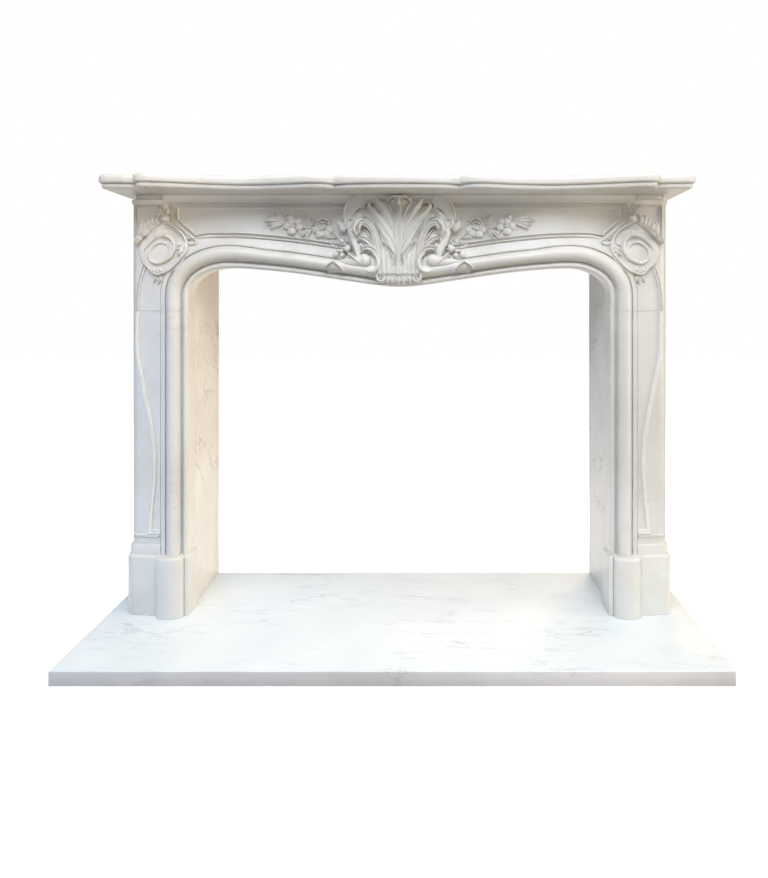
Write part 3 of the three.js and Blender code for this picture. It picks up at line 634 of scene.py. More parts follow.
def panel_border():
    """Along the top, down beside the corner block, in round its nick, and back along the arch."""
    top = SOFFIT - BAND_HIGH - 9.5
    beside_arch = 89.5
    edge = half_opening_edge()
    offset = edge - mitres(edge) * beside_arch
    back = offset[(edge[:, 0] < OPENING - CORNER_X) & (edge[:, 0] > 90)][::6]
    upper = np.array([(60, top), (PANEL_X, top), (PANEL_X, NICK_TOP), (NICK_X, NICK_LOW)])
    nick = [(NICK_X + 2, NICK_LOW), (NICK_X - 12, NICK_LOW + 2), (NICK_X - 44, NICK_LOW + 6)]
    lower = spline([*nick, *back], 80)
    return [moulding(upper, double_line(16.5, 11.5, GROUND)), moulding(lower, double_line(12.5, 9, GROUND))]


def stile():
    """The plain margin between the panel border and the corner block."""
    high, low = SOFFIT - 10, SOFFIT - BAND_HIGH - 5
    outline = [(OUTER - ROUND, high), (0, high), (0, low), (PANEL_X, low), (PANEL_X, NICK_TOP)]
    outline += [(NICK_X, NICK_LOW), (NICK_X - 6, ARCH_HIGH + 70), (NICK_X + 30, ARCH_HIGH + 20)]
    outline.append((OUTER - ROUND, ARCH_HIGH - CORNER_Z))
    return plate(outline, STILE, BEDDED - 1)


# Jambs.

FOOT = PLINTH + 65.0  # where the panel on the jamb ends


def waist():
    """The line of the jamb's panel, wide at the joint, drawn in below the middle and flaring to its foot."""
    width = OUTER - FACE_INNER
    height = JOINT - FOOT
    shares = [(0.768, 1), (0.768, 0.82), (0.62, 0.705), (0.464, 0.594), (0.31, 0.487), (0.226, 0.389)]
    shares += [(0.2, 0.289), (0.245, 0.174), (0.31, 0.083), (0.357, 0)]
    return spline([(FACE_INNER + width * x, FOOT + height * z) for x, z in shares], 120)


def jamb_shaft():
    """The moulding's section and the face in plan, the same at every height."""
    section = JAMB_MOULDING[: -1 - len(FACE_START)] + [OPENING, 0]
    plan = np.vstack([section, face_plan(FACE_INNER + 1)])
    return pillar([plan, plan, plan], [PLINTH + GAP, JOINT / 2, JOINT - GAP])


def on_face(line, width=10, high=4.5):
    """A double line laid on the jamb's face, following its depth."""
    line = np.asarray(line, float)
    section = double_line(width, high, 0)
    depth = section[:, 1] + face_depth(line[:, :1] + mitres(line)[:, :1] * section[:, 0])
    return moulding(line, np.stack([np.broadcast_to(section[:, 0], depth.shape), depth], -1))


def jamb_panel():
    """The waisted double line with its level foot, and the line that runs out to the edge below it."""
    line = waist()
    x, z = line[-1]
    foot = [(x, z - 6), (FACE_INNER + 2, z - 6)]
    side = resample(np.vstack([[[line[0, 0], JOINT - 1]], line[2:]]), 90)
    below = resample([(OUTER - 9, z - 17), (FACE_INNER + 2, z - 17)], 14)
    return [on_face(np.vstack([side, foot])), on_face(below, 5.5, 4)]


def jamb_step():
    """The low band above the plinth: the face's plan a little proud, its top sloping back."""
    inner = FACE_INNER - 1
    levels = [(0, 5.0), (20, 5.0), (21, 4.6), (23, 3), (25, 1), (26, -0.5)]
    plans = [np.vstack([face_plan(inner, p, max(p, 0), REAR), [[inner, REAR]]]) for _, p in levels]
    return pillar(plans, [PLINTH + GAP + h for h, _ in levels])


def plinth_block():
    """In plan an inner fillet, a broad lobe under the round, a flat face and a rounded corner. The top edge
    is rounded over by a quarter circle."""
    proud = 17.0
    side = 7.0
    ease = 7.0
    lobe_deep = 24.0
    start, end = OPENING + 5, FACE_INNER + 4
    half = (end - start) / 2

    def plan(s):
        """The outline drawn in by s."""
        inner = OPENING - 7 + s
        front = FACE - proud + s
        a = np.linspace(0, math.pi, 33)
        lobe = np.c_[start + half - (half - s / 2) * np.cos(a), front - lobe_deep * np.sin(a) ** 0.8]
        bead = [(inner, CORE), (inner, front + 5), (inner + 1.2, front + 1.4), (inner + 4, front)]
        bead += [(start - 1.5, front), (start, front + 3)]
        lip = [(end, front + 3), (end + 1.5, front + 0.6)]
        return np.vstack([bead, lobe, lip, face_plan(end + 4, proud - s, side - s)])

    plans = [plan(1.0), plan(0.0)] + [plan(ease * (1 - math.cos(t))) for t in quarter(7)]
    heights = [GAP, 2] + [PLINTH - ease * (1 - math.sin(t)) for t in quarter(7)]
    return pillar(plans, heights)


# Shelf.

SHELF_HALF = OUTER + 35.0


def shelf_plan():
    """From the middle round the right ear to the back, each point a share of half the width and a
    projection before the jambs: a bow, a cusp, a long serpentine, a nick and the ear."""

    def through(points, count):
        return spline([(SHELF_HALF * s, FACE - p) for s, p in points], count)

    bow = through([(0, 107), (0.1, 104), (0.175, 96), (0.208, 82)], 22)
    waves = [(0.208, 82), (0.222, 96), (0.25, 108), (0.3, 110), (0.4, 92), (0.52, 81), (0.66, 100)]
    waves += [(0.79, 126), (0.845, 132), (0.868, 124), (0.883, 99)]
    ear = through([(0.883, 99), (0.905, 106), (0.95, 109), (0.98, 108), (0.998, 98), (1.003, 70)], 24)
    side = through([(1.003, 70), (1.012, -110), (1.025, FACE - BACK)], 10)
    return np.vstack([bow, through(waves, 90)[1:], ear[1:], side[1:]])


def shelf_edge():
    """Inset and height from the soffit: thumb moulding, quirk, fillet and ovolo down to it."""
    a = quarter(8)
    thumb = np.c_[11 * (1 - np.sin(a)), SHELF_THICK - 11 * (1 - np.cos(a))]
    under = np.c_[5 * (1 - np.cos(a)), 19 - 6 * np.sin(a)]
    neck = np.array([[7, 12.4], [8.5, 12], [8.5, 10.8], [6.5, 10.4], [6.5, 6.5]])
    ovolo = np.c_[6.5 + 7 * (1 - np.cos(a)), 6.5 - 6.5 * np.sin(a)]
    return np.vstack([thumb, under, neck, ovolo[1:]])


def serpentine_shelf():
    """The edge's section carried round the plan. The top and the soffit run in to a smaller outline, which a
    flat face closes."""
    half = shelf_plan()
    whole = np.vstack([half[:0:-1] * [-1, 1], half])
    n = mitres(whole)
    n[0], n[-1] = [1, 0], [-1, 0]
    n *= np.minimum(1, 1.1 / np.linalg.norm(n, axis=1))[:, None]
    # The smaller outline keeps clear of the waves along the front, and follows the sides at a share.
    inner = np.c_[0.84 * whole[:, 0], 90 + 0.45 * np.maximum(whole[:, 1] + 60, 0)]
    edge = [whole + n * inset for inset, _ in shelf_edge()]
    for ring in edge:
        ring[[0, -1], 1] = BACK
    heights = [SOFFIT + h for _, h in shelf_edge()]
    return pillar([inner, *edge, inner], [heights[0], *heights, heights[-1]])


# Slabs.


def slab(low, high, ease=1.5):
    """A slab with small round corners, its outline drawn in by a quarter circle at top and bottom."""
    (x0, y0, z0), (x1, y1, z1) = low, high
    a = quarter(4)
    levels = [(ease * (1 - math.sin(t)), z0 + ease * (1 - math.cos(t))) for t in a]
    levels += [(ease * (1 - math.cos(t)), z1 - ease * (1 - math.sin(t))) for t in a]
    turn = np.radians(np.concatenate([start + np.linspace(0, 90, 4) for start in (-90, 0, 90, 180)]))
    r = ease * 2
    cx = np.repeat([x1 - r, x1 - r, x0 + r, x0 + r], 4)
    cy = np.repeat([y0 + r, y1 - r, y1 - r, y0 + r], 4)
    around = np.c_[np.cos(turn), np.sin(turn)]
    plans = [np.c_[cx, cy] + (r - inset) * around for inset, _ in levels]
    return pillar(plans, [z for _, z in levels])


# The carving of the middle: a cartouche that swells forward towards its foot, where it covers the round.

SWELL_TOP = GROUND - 12.0
SWELL = 24.0
SWELL_RUN = 150.0
# Where the carving's points are counted from: the arch's lowest edge, or the shelf's underside.
LOW = (0.0, ARCH_LOW)
TOP = (0.0, SOFFIT)


def swell(x, z):
    """Depth of the cartouche's shield."""
    return SWELL_TOP - SWELL * (1 - np.clip((z - ARCH_LOW - 30) / SWELL_RUN, 0, 1))


def round_depth(x, z):
    """Depth of the moulding's big round on the arch: a half circle over its width."""
    edge = half_opening_edge()[::-1]
    arch_height = np.interp(np.abs(x), edge[:, 0], edge[:, 1])
    across = np.clip((z - arch_height - TORUS_START) / (ARCH_TORUS / 2) - 1, -0.98, 0.98)
    return FACE - TORUS * np.sqrt(1 - across**2)


def shield():
    """The field under the leaves: wider above, drawn in at the foot."""
    points = [(0, ARCH_LOW + 26), (0, ARCH_LOW + 110), (0, SOFFIT - 30), (0, SOFFIT - 6)]
    depth = [GROUND - SWELL_TOP + SWELL, 28, 14, 12, 10]
    return carve(points, [122, 172, 196, 184, 130], depth, GROUND, dished, count=30, across=25)


def leaf_and_frond():
    """The right half of the big leaf with its fingers and flutes, and the frond beside it."""
    # The fingers come from the topmost down.
    fingers = [
        ([(5, 150), (14, 186), (24, 212), (35, 228)], [10, 20, 24, 20, 9], [6, 8, 10, 9, 6]),
        (
            [(5, 116), (20, 162), (36, 198), (50, 218), (59, 232)],
            [12, 28, 38, 40, 32, 12],
            [8, 11, 13, 14, 12, 8],
        ),
        (
            [(6, 98), (30, 148), (54, 182), (71, 201), (80, 212), (82, 220)],
            [12, 30, 40, 42, 34, 24, 10],
            [9, 13, 15, 16, 15, 12, 8],
        ),
        ([(36, 134), (52, 158), (66, 180)], [8, 22, 20, 4], [11, 15, 14, 8]),
        ([(6, 82), (24, 116), (42, 141), (57, 157)], [12, 28, 30, 22, 4], [10, 15, 16, 14, 7]),
        ([(6, 68), (18, 98), (31, 120), (45, 136)], [10, 22, 26, 20, 4], [11, 16, 17, 15, 8]),
        ([(7, 56), (17, 82), (29, 104), (43, 120)], [8, 17, 20, 17, 4], [12, 16, 18, 16, 10]),
        ([(9, 82), (20, 97), (33, 111), (43, 117)], [3, 5, 5, 3], [18, 21, 21, 15]),
    ]
    # Upright flutes at the foot of the leaf, with a short one between the first two.
    flutes = [
        ([(x, 34), (x * 1.02, 62), (x * 1.08, 86), (x * 1.2, 106)], [12.5, 13, 12, 5], [8, 11, 10, 4])
        for x in (13.5, 26, 38.5, 50)
    ]
    flutes.append(([(14, 58), (13.5, 74), (11, 92)], [4, 9, 2], [14, 18, 14]))
    # The frond: a broad fluted scroll that rises from the foot and folds over outwards.
    frond = [(52, 38), (53, 70), (56, 106), (64, 136), (76, 157), (90, 167), (104, 164), (111, 150)]
    frond.append((109, 138))
    frond_width = [13, 17, 20, 22, 22, 21, 22, 20, 12]
    frond_high = [10, 13, 15, 17, 20, 24, 26, 24, 14]
    fold = [(84, 172), (99, 177), (112, 166), (117, 150), (110, 134)]
    folds = [
        (fold, [5, 12, 14, 13, 5], [20, 27, 31, 28, 16]),
        ([(84, 163), (95, 166), (103, 156), (104, 142)], [4, 9, 10, 4], [20, 26, 28, 18]),
        ([(67, 116), (75, 132), (86, 147), (94, 153)], [3, 6, 6, 3], [8, 12, 12, 8]),
    ]
    # Curls inside the frond, one above the other.
    curls = [
        ([(64, 104), (78, 117), (93, 127), (105, 127), (109, 119)], [8, 17, 17, 13, 6], [9, 14, 18, 19, 12]),
        (
            [(56, 76), (62, 92), (74, 101), (87, 102), (96, 96), (98, 88)],
            [8, 17, 20, 18, 13, 6],
            [11, 16, 20, 21, 18, 11],
        ),
        ([(70, 96), (84, 107), (95, 108)], [5, 11, 5], [9, 15, 12]),
    ]
    return [
        *strokes(fingers, LOW, swell, finger, lobes=1, sweep=0.35, count=40, across=17),
        *strokes(flutes, LOW, swell),
        *strokes([(frond, frond_width, frond_high)], LOW, swell, fluted, count=60, across=21),
        *strokes(folds, LOW, swell),
        *strokes(curls, LOW, swell, grooved, count=40),
        *bosses([(98, 107, 5.5, 17)], LOW, swell),
        *bosses([(76, 62, 25, 9)], LOW, 0.0),
    ]


def hook_and_plate():
    """On the right: the hook, ball, cone and strap, and the comma-shaped plate with its folded leaf."""
    hook = [(70, 88), (57, 77), (53, 60), (58, 46), (71, 39), (85, 41)]
    cone = [(88, 68), (106, 66), (130, 64), (162, 67)]
    bar = [(133, 88), (117, 74), (100, 60)]
    band = [(100, 158), (97, 132), (93, 108), (88, 84)]
    ball_bed = -6.0

    def strap_bed(x, z):
        return swell(x, z) + 7

    shapes = [
        *strokes([(hook, [6, 10, 12, 14, 13, 4], [13, 17, 19, 18, 15, 7])], LOW, swell, count=40),
        *bosses([(90, 68, 17.5, 20)], LOW, ball_bed, 1.05),
        *strokes([(cone, [33, 29, 19, 3], [16, 14, 9, 2])], LOW, TORUS_FRONT + 9),
        *strokes([(bar, [6, 7, 6], [17, 20, 20])], LOW, ball_bed),
        *strokes([(band, [84, 72, 62, 54], [9, 9, 10, 9])], LOW, strap_bed, strap, across=31),
    ]
    # The plate's outer side carries a fine lip.
    outer = [(88.5, -25), (89, -14), (95, -6), (105, -2), (117, -4), (130, -12), (140, -24), (146, -39)]
    outer += [(148, -55), (147.5, -68)]
    inner = [(119, -68), (120, -58), (118, -50), (111, -41), (102, -36), (93, -34)]
    outline = spline(np.add([inner[-1], *outer, *inner], TOP), 90)[:-1]
    shapes.append(plate(outline, GROUND - 13, GROUND + 6, 2.5))
    shapes += strokes([(outer, [2.5, 3.5, 3.5, 3], [2, 3, 3, 3])], TOP, GROUND - 12.6, count=60, across=7)
    # The folded leaf at the plate's foot, on a low cushion.
    cushion = [(112, -86), (136, -82), (160, -82)]
    tuft = [
        ((130, -94), (113, -80), 15, 17, 0.2),
        ((132, -94), (124, -66), 17, 17, 0.1),
        ((138, -94), (141, -62), 17, 17, -0.05),
        ((142, -94), (161, -70), 17, 17, -0.15),
        ((134, -98), (112, -92), 10, 17, 0.1),
        ((142, -98), (158, -88), 11, 17, -0.1),
    ]
    shapes += strokes([(cushion, [10, 28, 10], [8, 12, 8])], TOP, GROUND - 8)
    return shapes + foliage(tuft, TOP, GROUND - 8, rounded)


def frill_and_shell():
    """On the right: the frilled leaf behind the frond's shoulder, and the shell under the big leaf."""
    shell_bed = FACE - 12.0
    frill_row = ([(66, 160), (76, 180), (92, 192), (112, 193)], [26, 40, 38, 10], [8, 10, 10, 6])
    curl = [(98, 196), (110, 190), (106, 182)]
    bed = [(90, 204), (104, 192), (114, 174), (117, 150)]
    volute = spiral((46, 23), [13, 11.5, 9, 6, 3], math.pi * 0.62, -1.4)
    tongues = [((8, 32), (13, 5), 15, 10, 0.12), ((19, 32), (29, 8), 16, 10, 0.15)]
    return [
        *strokes([frill_row], LOW, SWELL_TOP + 3, finger, lobes=3, sweep=0.4),
        *strokes([(curl, [5, 9, 4], [12, 15, 10])], LOW, SWELL_TOP + 4),
        *foliage([((74, 168), (94, 184), 13, 14, 0.15)], LOW, SWELL_TOP + 2),
        *strokes([(bed, [10, 26, 26, 12], [8, 12, 14, 12])], LOW, GROUND - 7),
        *strokes([(volute, [6, 7.5, 7, 6, 4], [9, 13, 13, 11, 8])], LOW, shell_bed, count=60),
        *bosses([(46, 23, 3.5, 10)], LOW, shell_bed),
        *foliage(tongues, LOW, shell_bed - 3, finger),
    ]


def cartouche_middle():
    """The leaf's body and rib, its tip folded over under the shelf with a knob, and the shell's apron."""
    reach = SOFFIT - ARCH_LOW
    body = [(0, 34), (0, 110), (0, 180), (0, reach - 22)]
    rib = [(0, 32), (0, 130), (0, reach - 20)]
    fold = [(-31, -24), (-28, -14), (-15, -7), (0, -8), (15, -7), (28, -14), (31, -24)]
    knob = [(0, -8), (0, -18), (0, -30)]
    bed = [(-26, -17), (0, -18), (26, -17)]
    curls = [([(s * 7, -12), (s * 13, -18), (s * 19, -19)], [7, 7, 4], [20, 21, 15]) for s in (-1, 1)]
    apron = [(-58, 22), (0, 19), (58, 22)]
    body_row = (body, [96, 98, 96, 100, 90, 50], [6, 7, 8, 8, 7, 4])
    fold_row = (fold, [4, 9, 12, 14, 12, 9, 4], [9, 15, 20, 22, 20, 15, 9])
    return [
        shield(),
        *strokes([body_row], LOW, swell, count=40, across=25),
        *strokes([(rib, [10, 9.5, 9, 8.5], [15, 19, 21, 20])], LOW, swell, dished, count=50),
        *strokes([fold_row], TOP, SWELL_TOP, count=70, across=17),
        *strokes([(knob, [15, 14, 5], [22, 26, 19])], TOP, SWELL_TOP),
        *strokes([(bed, [8, 22, 26, 22, 8], [4, 7, 8, 7, 4])], TOP, SWELL_TOP),
        *strokes(curls, TOP, SWELL_TOP),
        *strokes([(apron, [18, 26, 30, 26, 18], [17, 20, 20, 17])], LOW, FACE, count=40),
        *foliage([((0, 33), (0, 5), 16, 12, 0.0)], LOW, FACE - 15, finger),
    ]


# The sprays of flowers on the sunk panel.


def spray_half():
    """Two open flowers, a bud and sprigs of leaves on one bending stem, berries by the cartouche, and a leaf
    folded over the round."""
    level = (0.0, SOFFIT - 86.0)
    near = np.add((204, 0), level)
    far = np.add((281, 3), level)
    twig = [(302, 13), (281, 3), (242, -2), (204, 0), (178, -16), (165, -28), (153, -40)]
    # The outer sprig, the leaves that stand and hang between the flowers, and those under the near flower.
    leaves = [
        ((302, 13), (362, 17), 18.4, 10),
        ((310, 15), (334, 35), 13.8, 9.6),
        ((308, 11), (345, -4), 18.4, 10),
        ((322, 17), (352, 27), 10.35, 7.2),
        ((324, 9), (354, 5), 10.35, 7.2),
        ((292, 21), (304, 37), 8.05, 5.6),
        ((240, 0), (249, 36), 9.2, 6.4),
        ((238, 0), (233, 26), 8.05, 5.6),
        ((237, -4), (265, -30), 14.95, 10.4),
        ((234, -4), (249, -33), 13.8, 9.6),
        ((268, -3), (256, -21), 13.8, 7),
        ((208, -12), (222, -28), 18.4, 8),
        ((196, -14), (184, -30), 17.25, 8),
        ((192, -18), (167, -27), 12.65, 8.8),
        ((190, -34), (160, -41), 10.35, 7.2),
        ((184, -43), (158, -55), 12.65, 8.8),
        ((153, -40), (146, -24), 10.35, 7.2),
        ((153, -42), (136, -40), 10.35, 7.2),
    ]
    # The near flower: a low whorl behind, two ribs over it, and full petals round its heart.
    angles = np.radians([15, 60, 105, 150])
    arc = np.c_[np.cos(angles), 1.1 * np.sin(angles)]
    ribs = [(arc * reach, [3, 6, 6, 3], [8, 13, 13, 9]) for reach in (13, 20)]
    near_petals = [(-17, -8, 12, 10), (-9, -18, 12, 11), (8, -19, 13, 12), (19, -7, 12, 10), (2, -4, 7, 16)]
    # The far flower: five full petals round its heart.
    far_petals = [(7, -14, 13, 12), (-11, -3, 12, 11), (20, 0, 12, 10), (7, 12, 12, 9), (-8, 12, 11, 9)]
    far_petals.append((4, -1, 6, 14))
    # Berries where the stem meets the moulding.
    berries = [(168.5, 84, 9.5, 14.5), (151, 82, 8.5, 13.5), (153.5, 94, 6.5, 11.5), (138, 100, 10.5, 15.5)]
    berries.append((161, 95, 5.5, 10.5))
    # The leaf folded over the round: a low blade with two keen ribs.
    blade = [(171, 66), (170, 50), (169, 36)]
    keen = [
        ([(172, 66), bend, tip], [5, 6, 6, 2], [11, 13, 11, 6])
        for bend, tip in (((186, 57), (200, 42)), ((156.5, 54.5), (141, 37)))
    ]
    return [
        *strokes([(twig, [4, 5, 5, 5, 5, 4, 3], [6, 7, 7, 7, 7, 6, 5])], level, count=70, across=9),
        *foliage(leaves, level),
        petals(near, 27, 6),
        *strokes(ribs, near, count=26, across=9),
        *bosses(near_petals, near, tall=0.85),
        *bosses(far_petals, far, tall=0.9),
        *bosses([(294, 26, 9, 9)], level, tall=0.85),
        *bosses([(153, -39, 6, 9)], level),
        *bosses(berries, LOW, 8.0),
        *strokes([(blade, [5, 32, 44, 34], [3, 3, 3, 2])], LOW, round_depth, fluted, count=26, across=17),
        *strokes(keen, LOW, round_depth, across=9),
    ]


# The scroll on each corner block. Its points are counted from the disc's middle.

DISC = (OUTER - 90.0, SOFFIT - 151.0)


def disc_depth(x, z):
    """The block's slope above the disc's middle, and level with the moulding's margin below."""
    level = eased((z - DISC[1] + 10) / 50)
    return block_depth(x) * level + (FACE - 2) * (1 - level)


def scroll_disc():
    """The disc with its coil and double rim: rings of shrinking radius, each a little further sunk."""
    turn = np.linspace(0, 2 * math.pi, 72, endpoint=False)
    rings = []
    for share, sink in ((1.0, 12), (1.0, 1.5), (0.97, 0), (0.85, 0), (0.6, 1.5), (0.3, 2.5), (0.05, 3)):
        x, z = DISC[0] + 62 * share * np.cos(turn), DISC[1] + 60 * share * np.sin(turn)
        rings.append(np.c_[x, disc_depth(x, z) - 2 + sink, z])
    # The rim, from under the rosette round the inner side to the outer foot, and a finer line inside it.
    rim = [(-12, 73), (-28, 65), (-43, 53), (-55, 38), (-62, 20), (-62, -1), (-50, -19), (-31, -40)]
    rim += [(-12, -54), (8, -58), (28, -52), (42, -38)]
    rim_row = (rim, [5, 7, 8, 8, 9, 9, 8, 8, 8, 8, 7, 4], [6, 8, 9, 10, 11, 11, 10, 10, 10, 9, 8, 5])
    fine_row = ([(-16, 64), (-32, 54), (-45, 40), (-51, 27)], [3, 4.5, 4.5, 3], [5, 7, 7, 5])
    coil = [(48, 3), (43, 12), (34.6, 22), (23, 33), (12, 39), (-3, 42), (-16, 37), (-26, 27), (-31, 14)]
    coil += [(-30, -1.5), (-22, -15), (-7.5, -25.5), (5, -31), (16, -32), (28, -26), (34, -13), (32, 3)]
    coil += [(23, 15), (12, 22), (-1, 23.5), (-11, 18), (-15, 8)]
    coil_width = [5, 7, 9, 11, 12, 12, 11, 11, 11, 11, 11, 11, 10, 10, 9, 9, 8, 8, 8, 8, 7, 4]
    coil_high = [5, 8, 10, 11, 12, 12, 11, 11, 11, 11, 11, 11, 10, 10, 10, 9, 8, 8, 8, 8, 6, 3]
    return [
        loft(rings),
        *strokes([rim_row], DISC, disc_depth, count=110),
        *strokes([fine_row], DISC, disc_depth, count=40, across=7),
        *strokes([(coil, coil_width, coil_high)], DISC, disc_depth, count=170, across=11),
        *bosses([(13, 40, 5.5, 13), (-4, 42, 5.5, 13)], DISC, FACE - 1, 0.8),
    ]


def scroll_leaves():
    """The garland over the disc's shoulder, the rosette, the leaves on the rim and the drop below it."""
    # Husks hang from the rosette to the outer edge, and pointed leaves stand on them.
    husks = [
        ([(4, 75), (13.5, 71.5), (21, 66)], [4, 9, 10, 5], [4.5, 9, 9, 5.4]),
        ([(19, 67), (29.5, 62.5), (38, 56)], [5, 11, 13, 7], [6, 12, 12, 7.2]),
        ([(36, 57), (47, 49), (56, 39)], [8, 19, 20, 8], [8, 16, 16, 9.6]),
        ([(54, 41), (64.5, 31), (73, 19)], [8, 17, 15, 4], [7.5, 15, 15, 9]),
    ]
    blades = [
        ((14, 72), (17, 93), 13.2, 7.5, -0.06),
        ((23, 68), (28, 95), 14.4, 7.5, -0.06),
        ((33, 63), (39, 87), 15.6, 7.5, -0.06),
        ((44, 54), (48, 78), 16.8, 7.5, -0.06),
        ((60, 38), (54, 80), 16.8, 7.5, -0.06),
    ]
    # The rosette is a knot with a curl round it and leaves about it, one of them upright.
    knot = spiral((1, 90), [11, 10, 8, 5], -0.6, 0.85)
    tufts = [
        ((-4, 97), (18, 98), 13, 12, -0.1),
        ((-5, 98), (-10, 127), 13, 12, -0.1),
        ((-12, 98), (-17, 113), 9, 12, -0.1),
        ((-2, 100), (3, 114), 8, 12, -0.1),
        ((6, 80), (-20, 70), 10, 12, -0.1),
        ((-4, 78), (-17, 78), 9, 12, -0.1),
    ]
    # A small frilled leaf on the rim's inner side.
    frill = [(-58, 26), (-53, 12), (-50, -4), (-54, -18)]
    frills = [((-61, start), (-40, end), 11, 13, 0.15) for start, end in ((22, 13), (10, 2), (-1, -10))]
    # The bow at the bottom of the rim, and the drop of leaves that hangs from it.
    bow = [(-14, -50), (10, -59), (36, -47)]
    drop = [((8, -62), (1, -82), 12, 8, 0.0), ((11, -62), (11, -89), 13, 8, 0.0)]
    drop.append(((14.9, -62), (24, -84), 12, 8, 0.0))
    # The curl in the border's nick.
    curl = [(-56, 31), (-70, 20), (-83, 20), (-88, 27), (-83, 31), (-76, 29)]
    return [
        *strokes(husks, DISC, FACE, grooved),
        *foliage(blades, DISC, face_depth, rounded),
        *bosses([(-7, 87, 10.5, 14)], DISC, FACE + 1),
        *strokes([(knot, [5, 7, 7, 5], [9, 13, 13, 9])], DISC, FACE + 3, count=50),
        *foliage(tufts, DISC, FACE + 2, finger, 0.5),
        *strokes([(frill, [6, 16, 15, 4], [7, 9, 9, 5])], DISC, disc_depth),
        *foliage(frills, DISC, disc_depth, rounded),
        *strokes([(bow, [4, 15, 4], [9, 14, 9])], DISC, FACE, grooved, count=40),
        *bosses([(3.5, -51, 6.5, 14), (20, -51, 6.5, 14)], DISC, FACE),
        *foliage(drop, DISC, FACE, finger),
        *bosses([(49, 1, 5, 8), (49, -10, 5.5, 8.5), (47, -27, 4.5, 7.5)], DISC, face_depth),
        *strokes([(curl, [3, 5, 6.5, 6.5, 5, 3], [6, 9, 10, 10, 9, 5])], DISC, STILE - 3, count=50),
        *foliage([((-56, 36), (-74, 35), 8, 9, 0.1)], DISC, STILE - 1),
    ]


def block_lines():
    """The jamb's double line carried up to the beads beside the disc, and the frame line of the block."""
    panel = [(-19.5, 1), (-20.5, 34), (-25, 64), (-32, 94), (-43, 124)]
    right, top = OUTER - 20.0, SOFFIT - CAVETTO_HIGH - 8.5
    frame_line = [(right, DISC[1] + 30), (right, top), (BLOCK_X + 20, top)]
    return [on_face(spline(np.add(panel, (OUTER, JOINT)), 40)), on_face(frame_line, 6.5, 5)]


# Put together. The hearth's front edge is a thin slab of its own, so that it can carry the greyer marble of
# painted shade.

HEARTH_HALF = 773
build(
    "hearth_slab",
    [slab((-HEARTH_HALF, 1 - BACK, -RISE), (HEARTH_HALF, BACK, 0))],
    HEARTH,
    ["hearth"],
    30,
)
edge = slab((1 - HEARTH_HALF, -BACK, 1.2 - RISE), (HEARTH_HALF - 1, 5 - BACK, -1.4), 0.5)
# The front edge takes the greyer marble: painted shade on the slab's front face.
build("hearth_front_edge", [edge], PAINTED_SHADE_EDGE, crease=30)
inner = slab((OPENING + 4, CORE + GAP, GAP), (OPENING + 29, BACK, SOFFIT - GAP))
outer = slab((OUTER - 29, CORE + GAP, GAP), (OUTER - 4, BACK, SOFFIT - GAP))
shaft = [jamb_shaft(), jamb_step()]
for side, hand in (("right", lambda shape: shape), ("left", mirrored)):
    build(f"{side}_inner_slab", [hand(inner)], SIDE, [f"{side}_inner_return"], 30)
    build(f"{side}_outer_slab", [hand(outer)], SIDE, [f"{side}_outer_return"], 30)
    build(f"{side}_shaft", [hand(s) for s in shaft], CARVED, [f"{side}_jamb"])
    # The jambs' double lines take the paler marble: a painted highlight.
    build(f"{side}_panel_lines", [hand(s) for s in jamb_panel()], PAINTED_HIGHLIGHT)
    build(f"{side}_foot", [hand(plinth_block())], CARVED, [f"{side}_plinth"])
build("serpentine_shelf", [serpentine_shelf()], CARVED, ["shelf"])
stone = both([arch_moulding(), frieze_ground(), *corner_block(), stile(), *panel_border()])
build("frieze_stone", [*stone, top_band()], CARVED, ["frieze"])
carving = both([*leaf_and_frond(), *hook_and_plate(), *frill_and_shell()])
build("cartouche", [*cartouche_middle(), *carving], CARVED, crease=50)
build("flower_sprays", both(spray_half()), CARVED, crease=50)
scrolls = both([*scroll_disc(), *scroll_leaves(), *block_lines()])
build("corner_scrolls", scrolls, CARVED, crease=50)

# Camera: level and square to the front, a little to the right of the middle and low.
PICTURE_LONG = 878
FOCAL_PX = 700
SIGHT_X_PX = 53  # how far the point looked at lies from the picture's middle
SIGHT_Y_PX = 139
SENSOR = 36
camera = add_object("camera", bpy.data.cameras.new("camera"))
camera.location = (0.10075, -1.855, 0.868)
camera.rotation_euler = (math.radians(90), 0, 0)
camera.data.sensor_width = SENSOR
camera.data.lens = SENSOR * FOCAL_PX / PICTURE_LONG
camera.data.shift_x = -SIGHT_X_PX / PICTURE_LONG
camera.data.shift_y = -SIGHT_Y_PX / PICTURE_LONG
SCENE.camera = camera


def area_light(name, place, target, size, power, tint, spread=180):
    """A rectangular soft light at a place, aimed at a target, its beam spread over an angle in degrees."""
    light = bpy.data.lights.new(name, "AREA")
    light.shape = "RECTANGLE"
    light.size, light.size_y = size
    light.energy = power
    light.color = colour(tint)[:3]
    light.spread = math.radians(spread)
    obj = add_object(name, light)
    obj.location = place
    aim = np.array(target, float) - np.array(place, float)
    tip = math.atan2(math.hypot(aim[0], aim[1]), -aim[2])
    obj.rotation_euler = (tip, 0, math.atan2(-aim[0], aim[1]))
    return obj


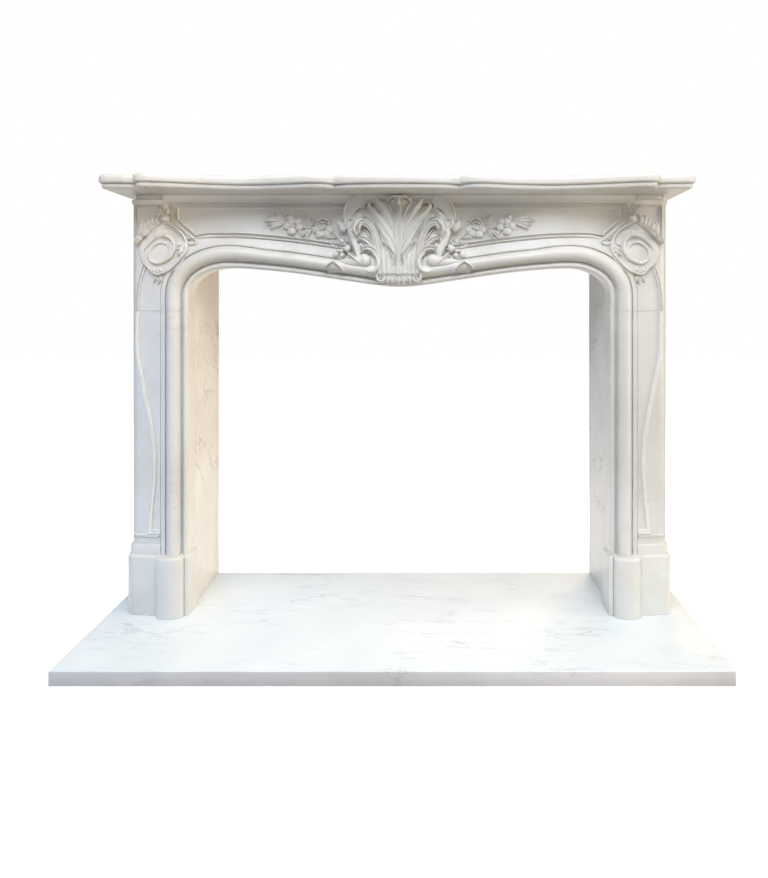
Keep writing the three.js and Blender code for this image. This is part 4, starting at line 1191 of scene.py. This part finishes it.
# The main light comes from above the camera and from the right. Weak narrow beams tint the left leg, both
# corners and the right foot, and two lamps behind warm the left side slab and cool the right one.
area_light("high_front", (0.1, -2.4, 3.0), (0, 0, 0.8), (2.6, 1.2), 93, "#ebf1ff")
area_light("overhead", (0.1, -0.9, 3.4), (0, 0, 0.5), (3.0, 1.6), 47, "#fff9ec")
area_light("right_side", (4.4, -1.3, 1.0), (-0.6, 0.1, 0.5), (1.4, 1.8), 84, "#fff6e8")
area_light("left_side", (-2.3, -1.5, 0.5), (-0.6, 0.0, 0.38), (1.2, 1.0), 2.3, "#9cc6ff", 50)
area_light("left_corner", (-0.3, -1.7, 0.75), (-0.66, 0.0, 1.07), (0.15, 0.15), 0.055, "#ffdcae", 18)
area_light("right_corner", (-0.2, -1.6, 0.75), (0.61, 0.0, 1.09), (0.15, 0.15), 0.06, "#fff0dc", 18)
area_light("right_foot", (0.1, -1.6, 0.4), (0.6, 0.0, 0.08), (0.3, 0.3), 0.2, "#eef6ff", 32)
warm_glow = area_light("warm_glow", (0.9, 1.2, 0.8), (-0.56, 0.17, 0.5), (0.6, 0.9), 16, "#ffe2c4")
cool_glow = area_light("cool_glow", (-0.9, 1.2, 0.8), (0.56, 0.17, 0.5), (0.6, 0.9), 6, "#b8d6ff")
for glow in (warm_glow, cool_glow):
    glow.visible_camera = False
    glow.visible_glossy = False

# A white studio: full white to the eye, and a soft warm light on the stone, a little stronger from below.
BELOW = (0.28, 0.235, 0.19, 1)
ABOVE = (0.235, 0.225, 0.19, 1)
world = bpy.data.worlds.new("studio")
SCENE.world = world
world.use_nodes = True
tree = world.node_tree
tree.nodes.clear()
way = add_node(tree, "TexCoord").outputs["Generated"]
split = add_node(tree, "SeparateXYZ", {0: way})
upwards = add_node(tree, "Math", {0: split.outputs[2]}, operation="GREATER_THAN", in1=0.0)
level = add_node(tree, "Mix", {0: upwards}, data_type="RGBA", in6=BELOW, in7=ABOVE)
camera_ray = add_node(tree, "LightPath").outputs["Is Camera Ray"]
seen = add_node(tree, "Mix", {0: camera_ray, 6: level.outputs[2]}, data_type="RGBA", in7=grey(1.0))
sky = add_node(tree, "Background", {"Color": seen.outputs[2]})
add_node(tree, "OutputWorld", {"Surface": sky})
SCENE.view_settings.view_transform = "Standard"

# A plain pale floor, painted white and lit from within, so that it stays even up to the horizon.
floor_mesh = bpy.data.meshes.new("floor")
floor_mesh.from_pydata([(-9, -7, 0), (9, -7, 0), (9, 9, 0), (-9, 9, 0)], [], [(0, 1, 2, 3)])
floor = add_object("floor", floor_mesh)
paint = bpy.data.materials.new("white_paint")
paint.use_nodes = True
coat = paint.node_tree.nodes["Principled BSDF"].inputs
coat["Base Color"].default_value = grey(0.92)
coat["Roughness"].default_value = 0.9
coat["Emission Color"].default_value = grey(1.0)
coat["Emission Strength"].default_value = 0.8
floor_mesh.materials.append(paint)
floor.visible_diffuse = False
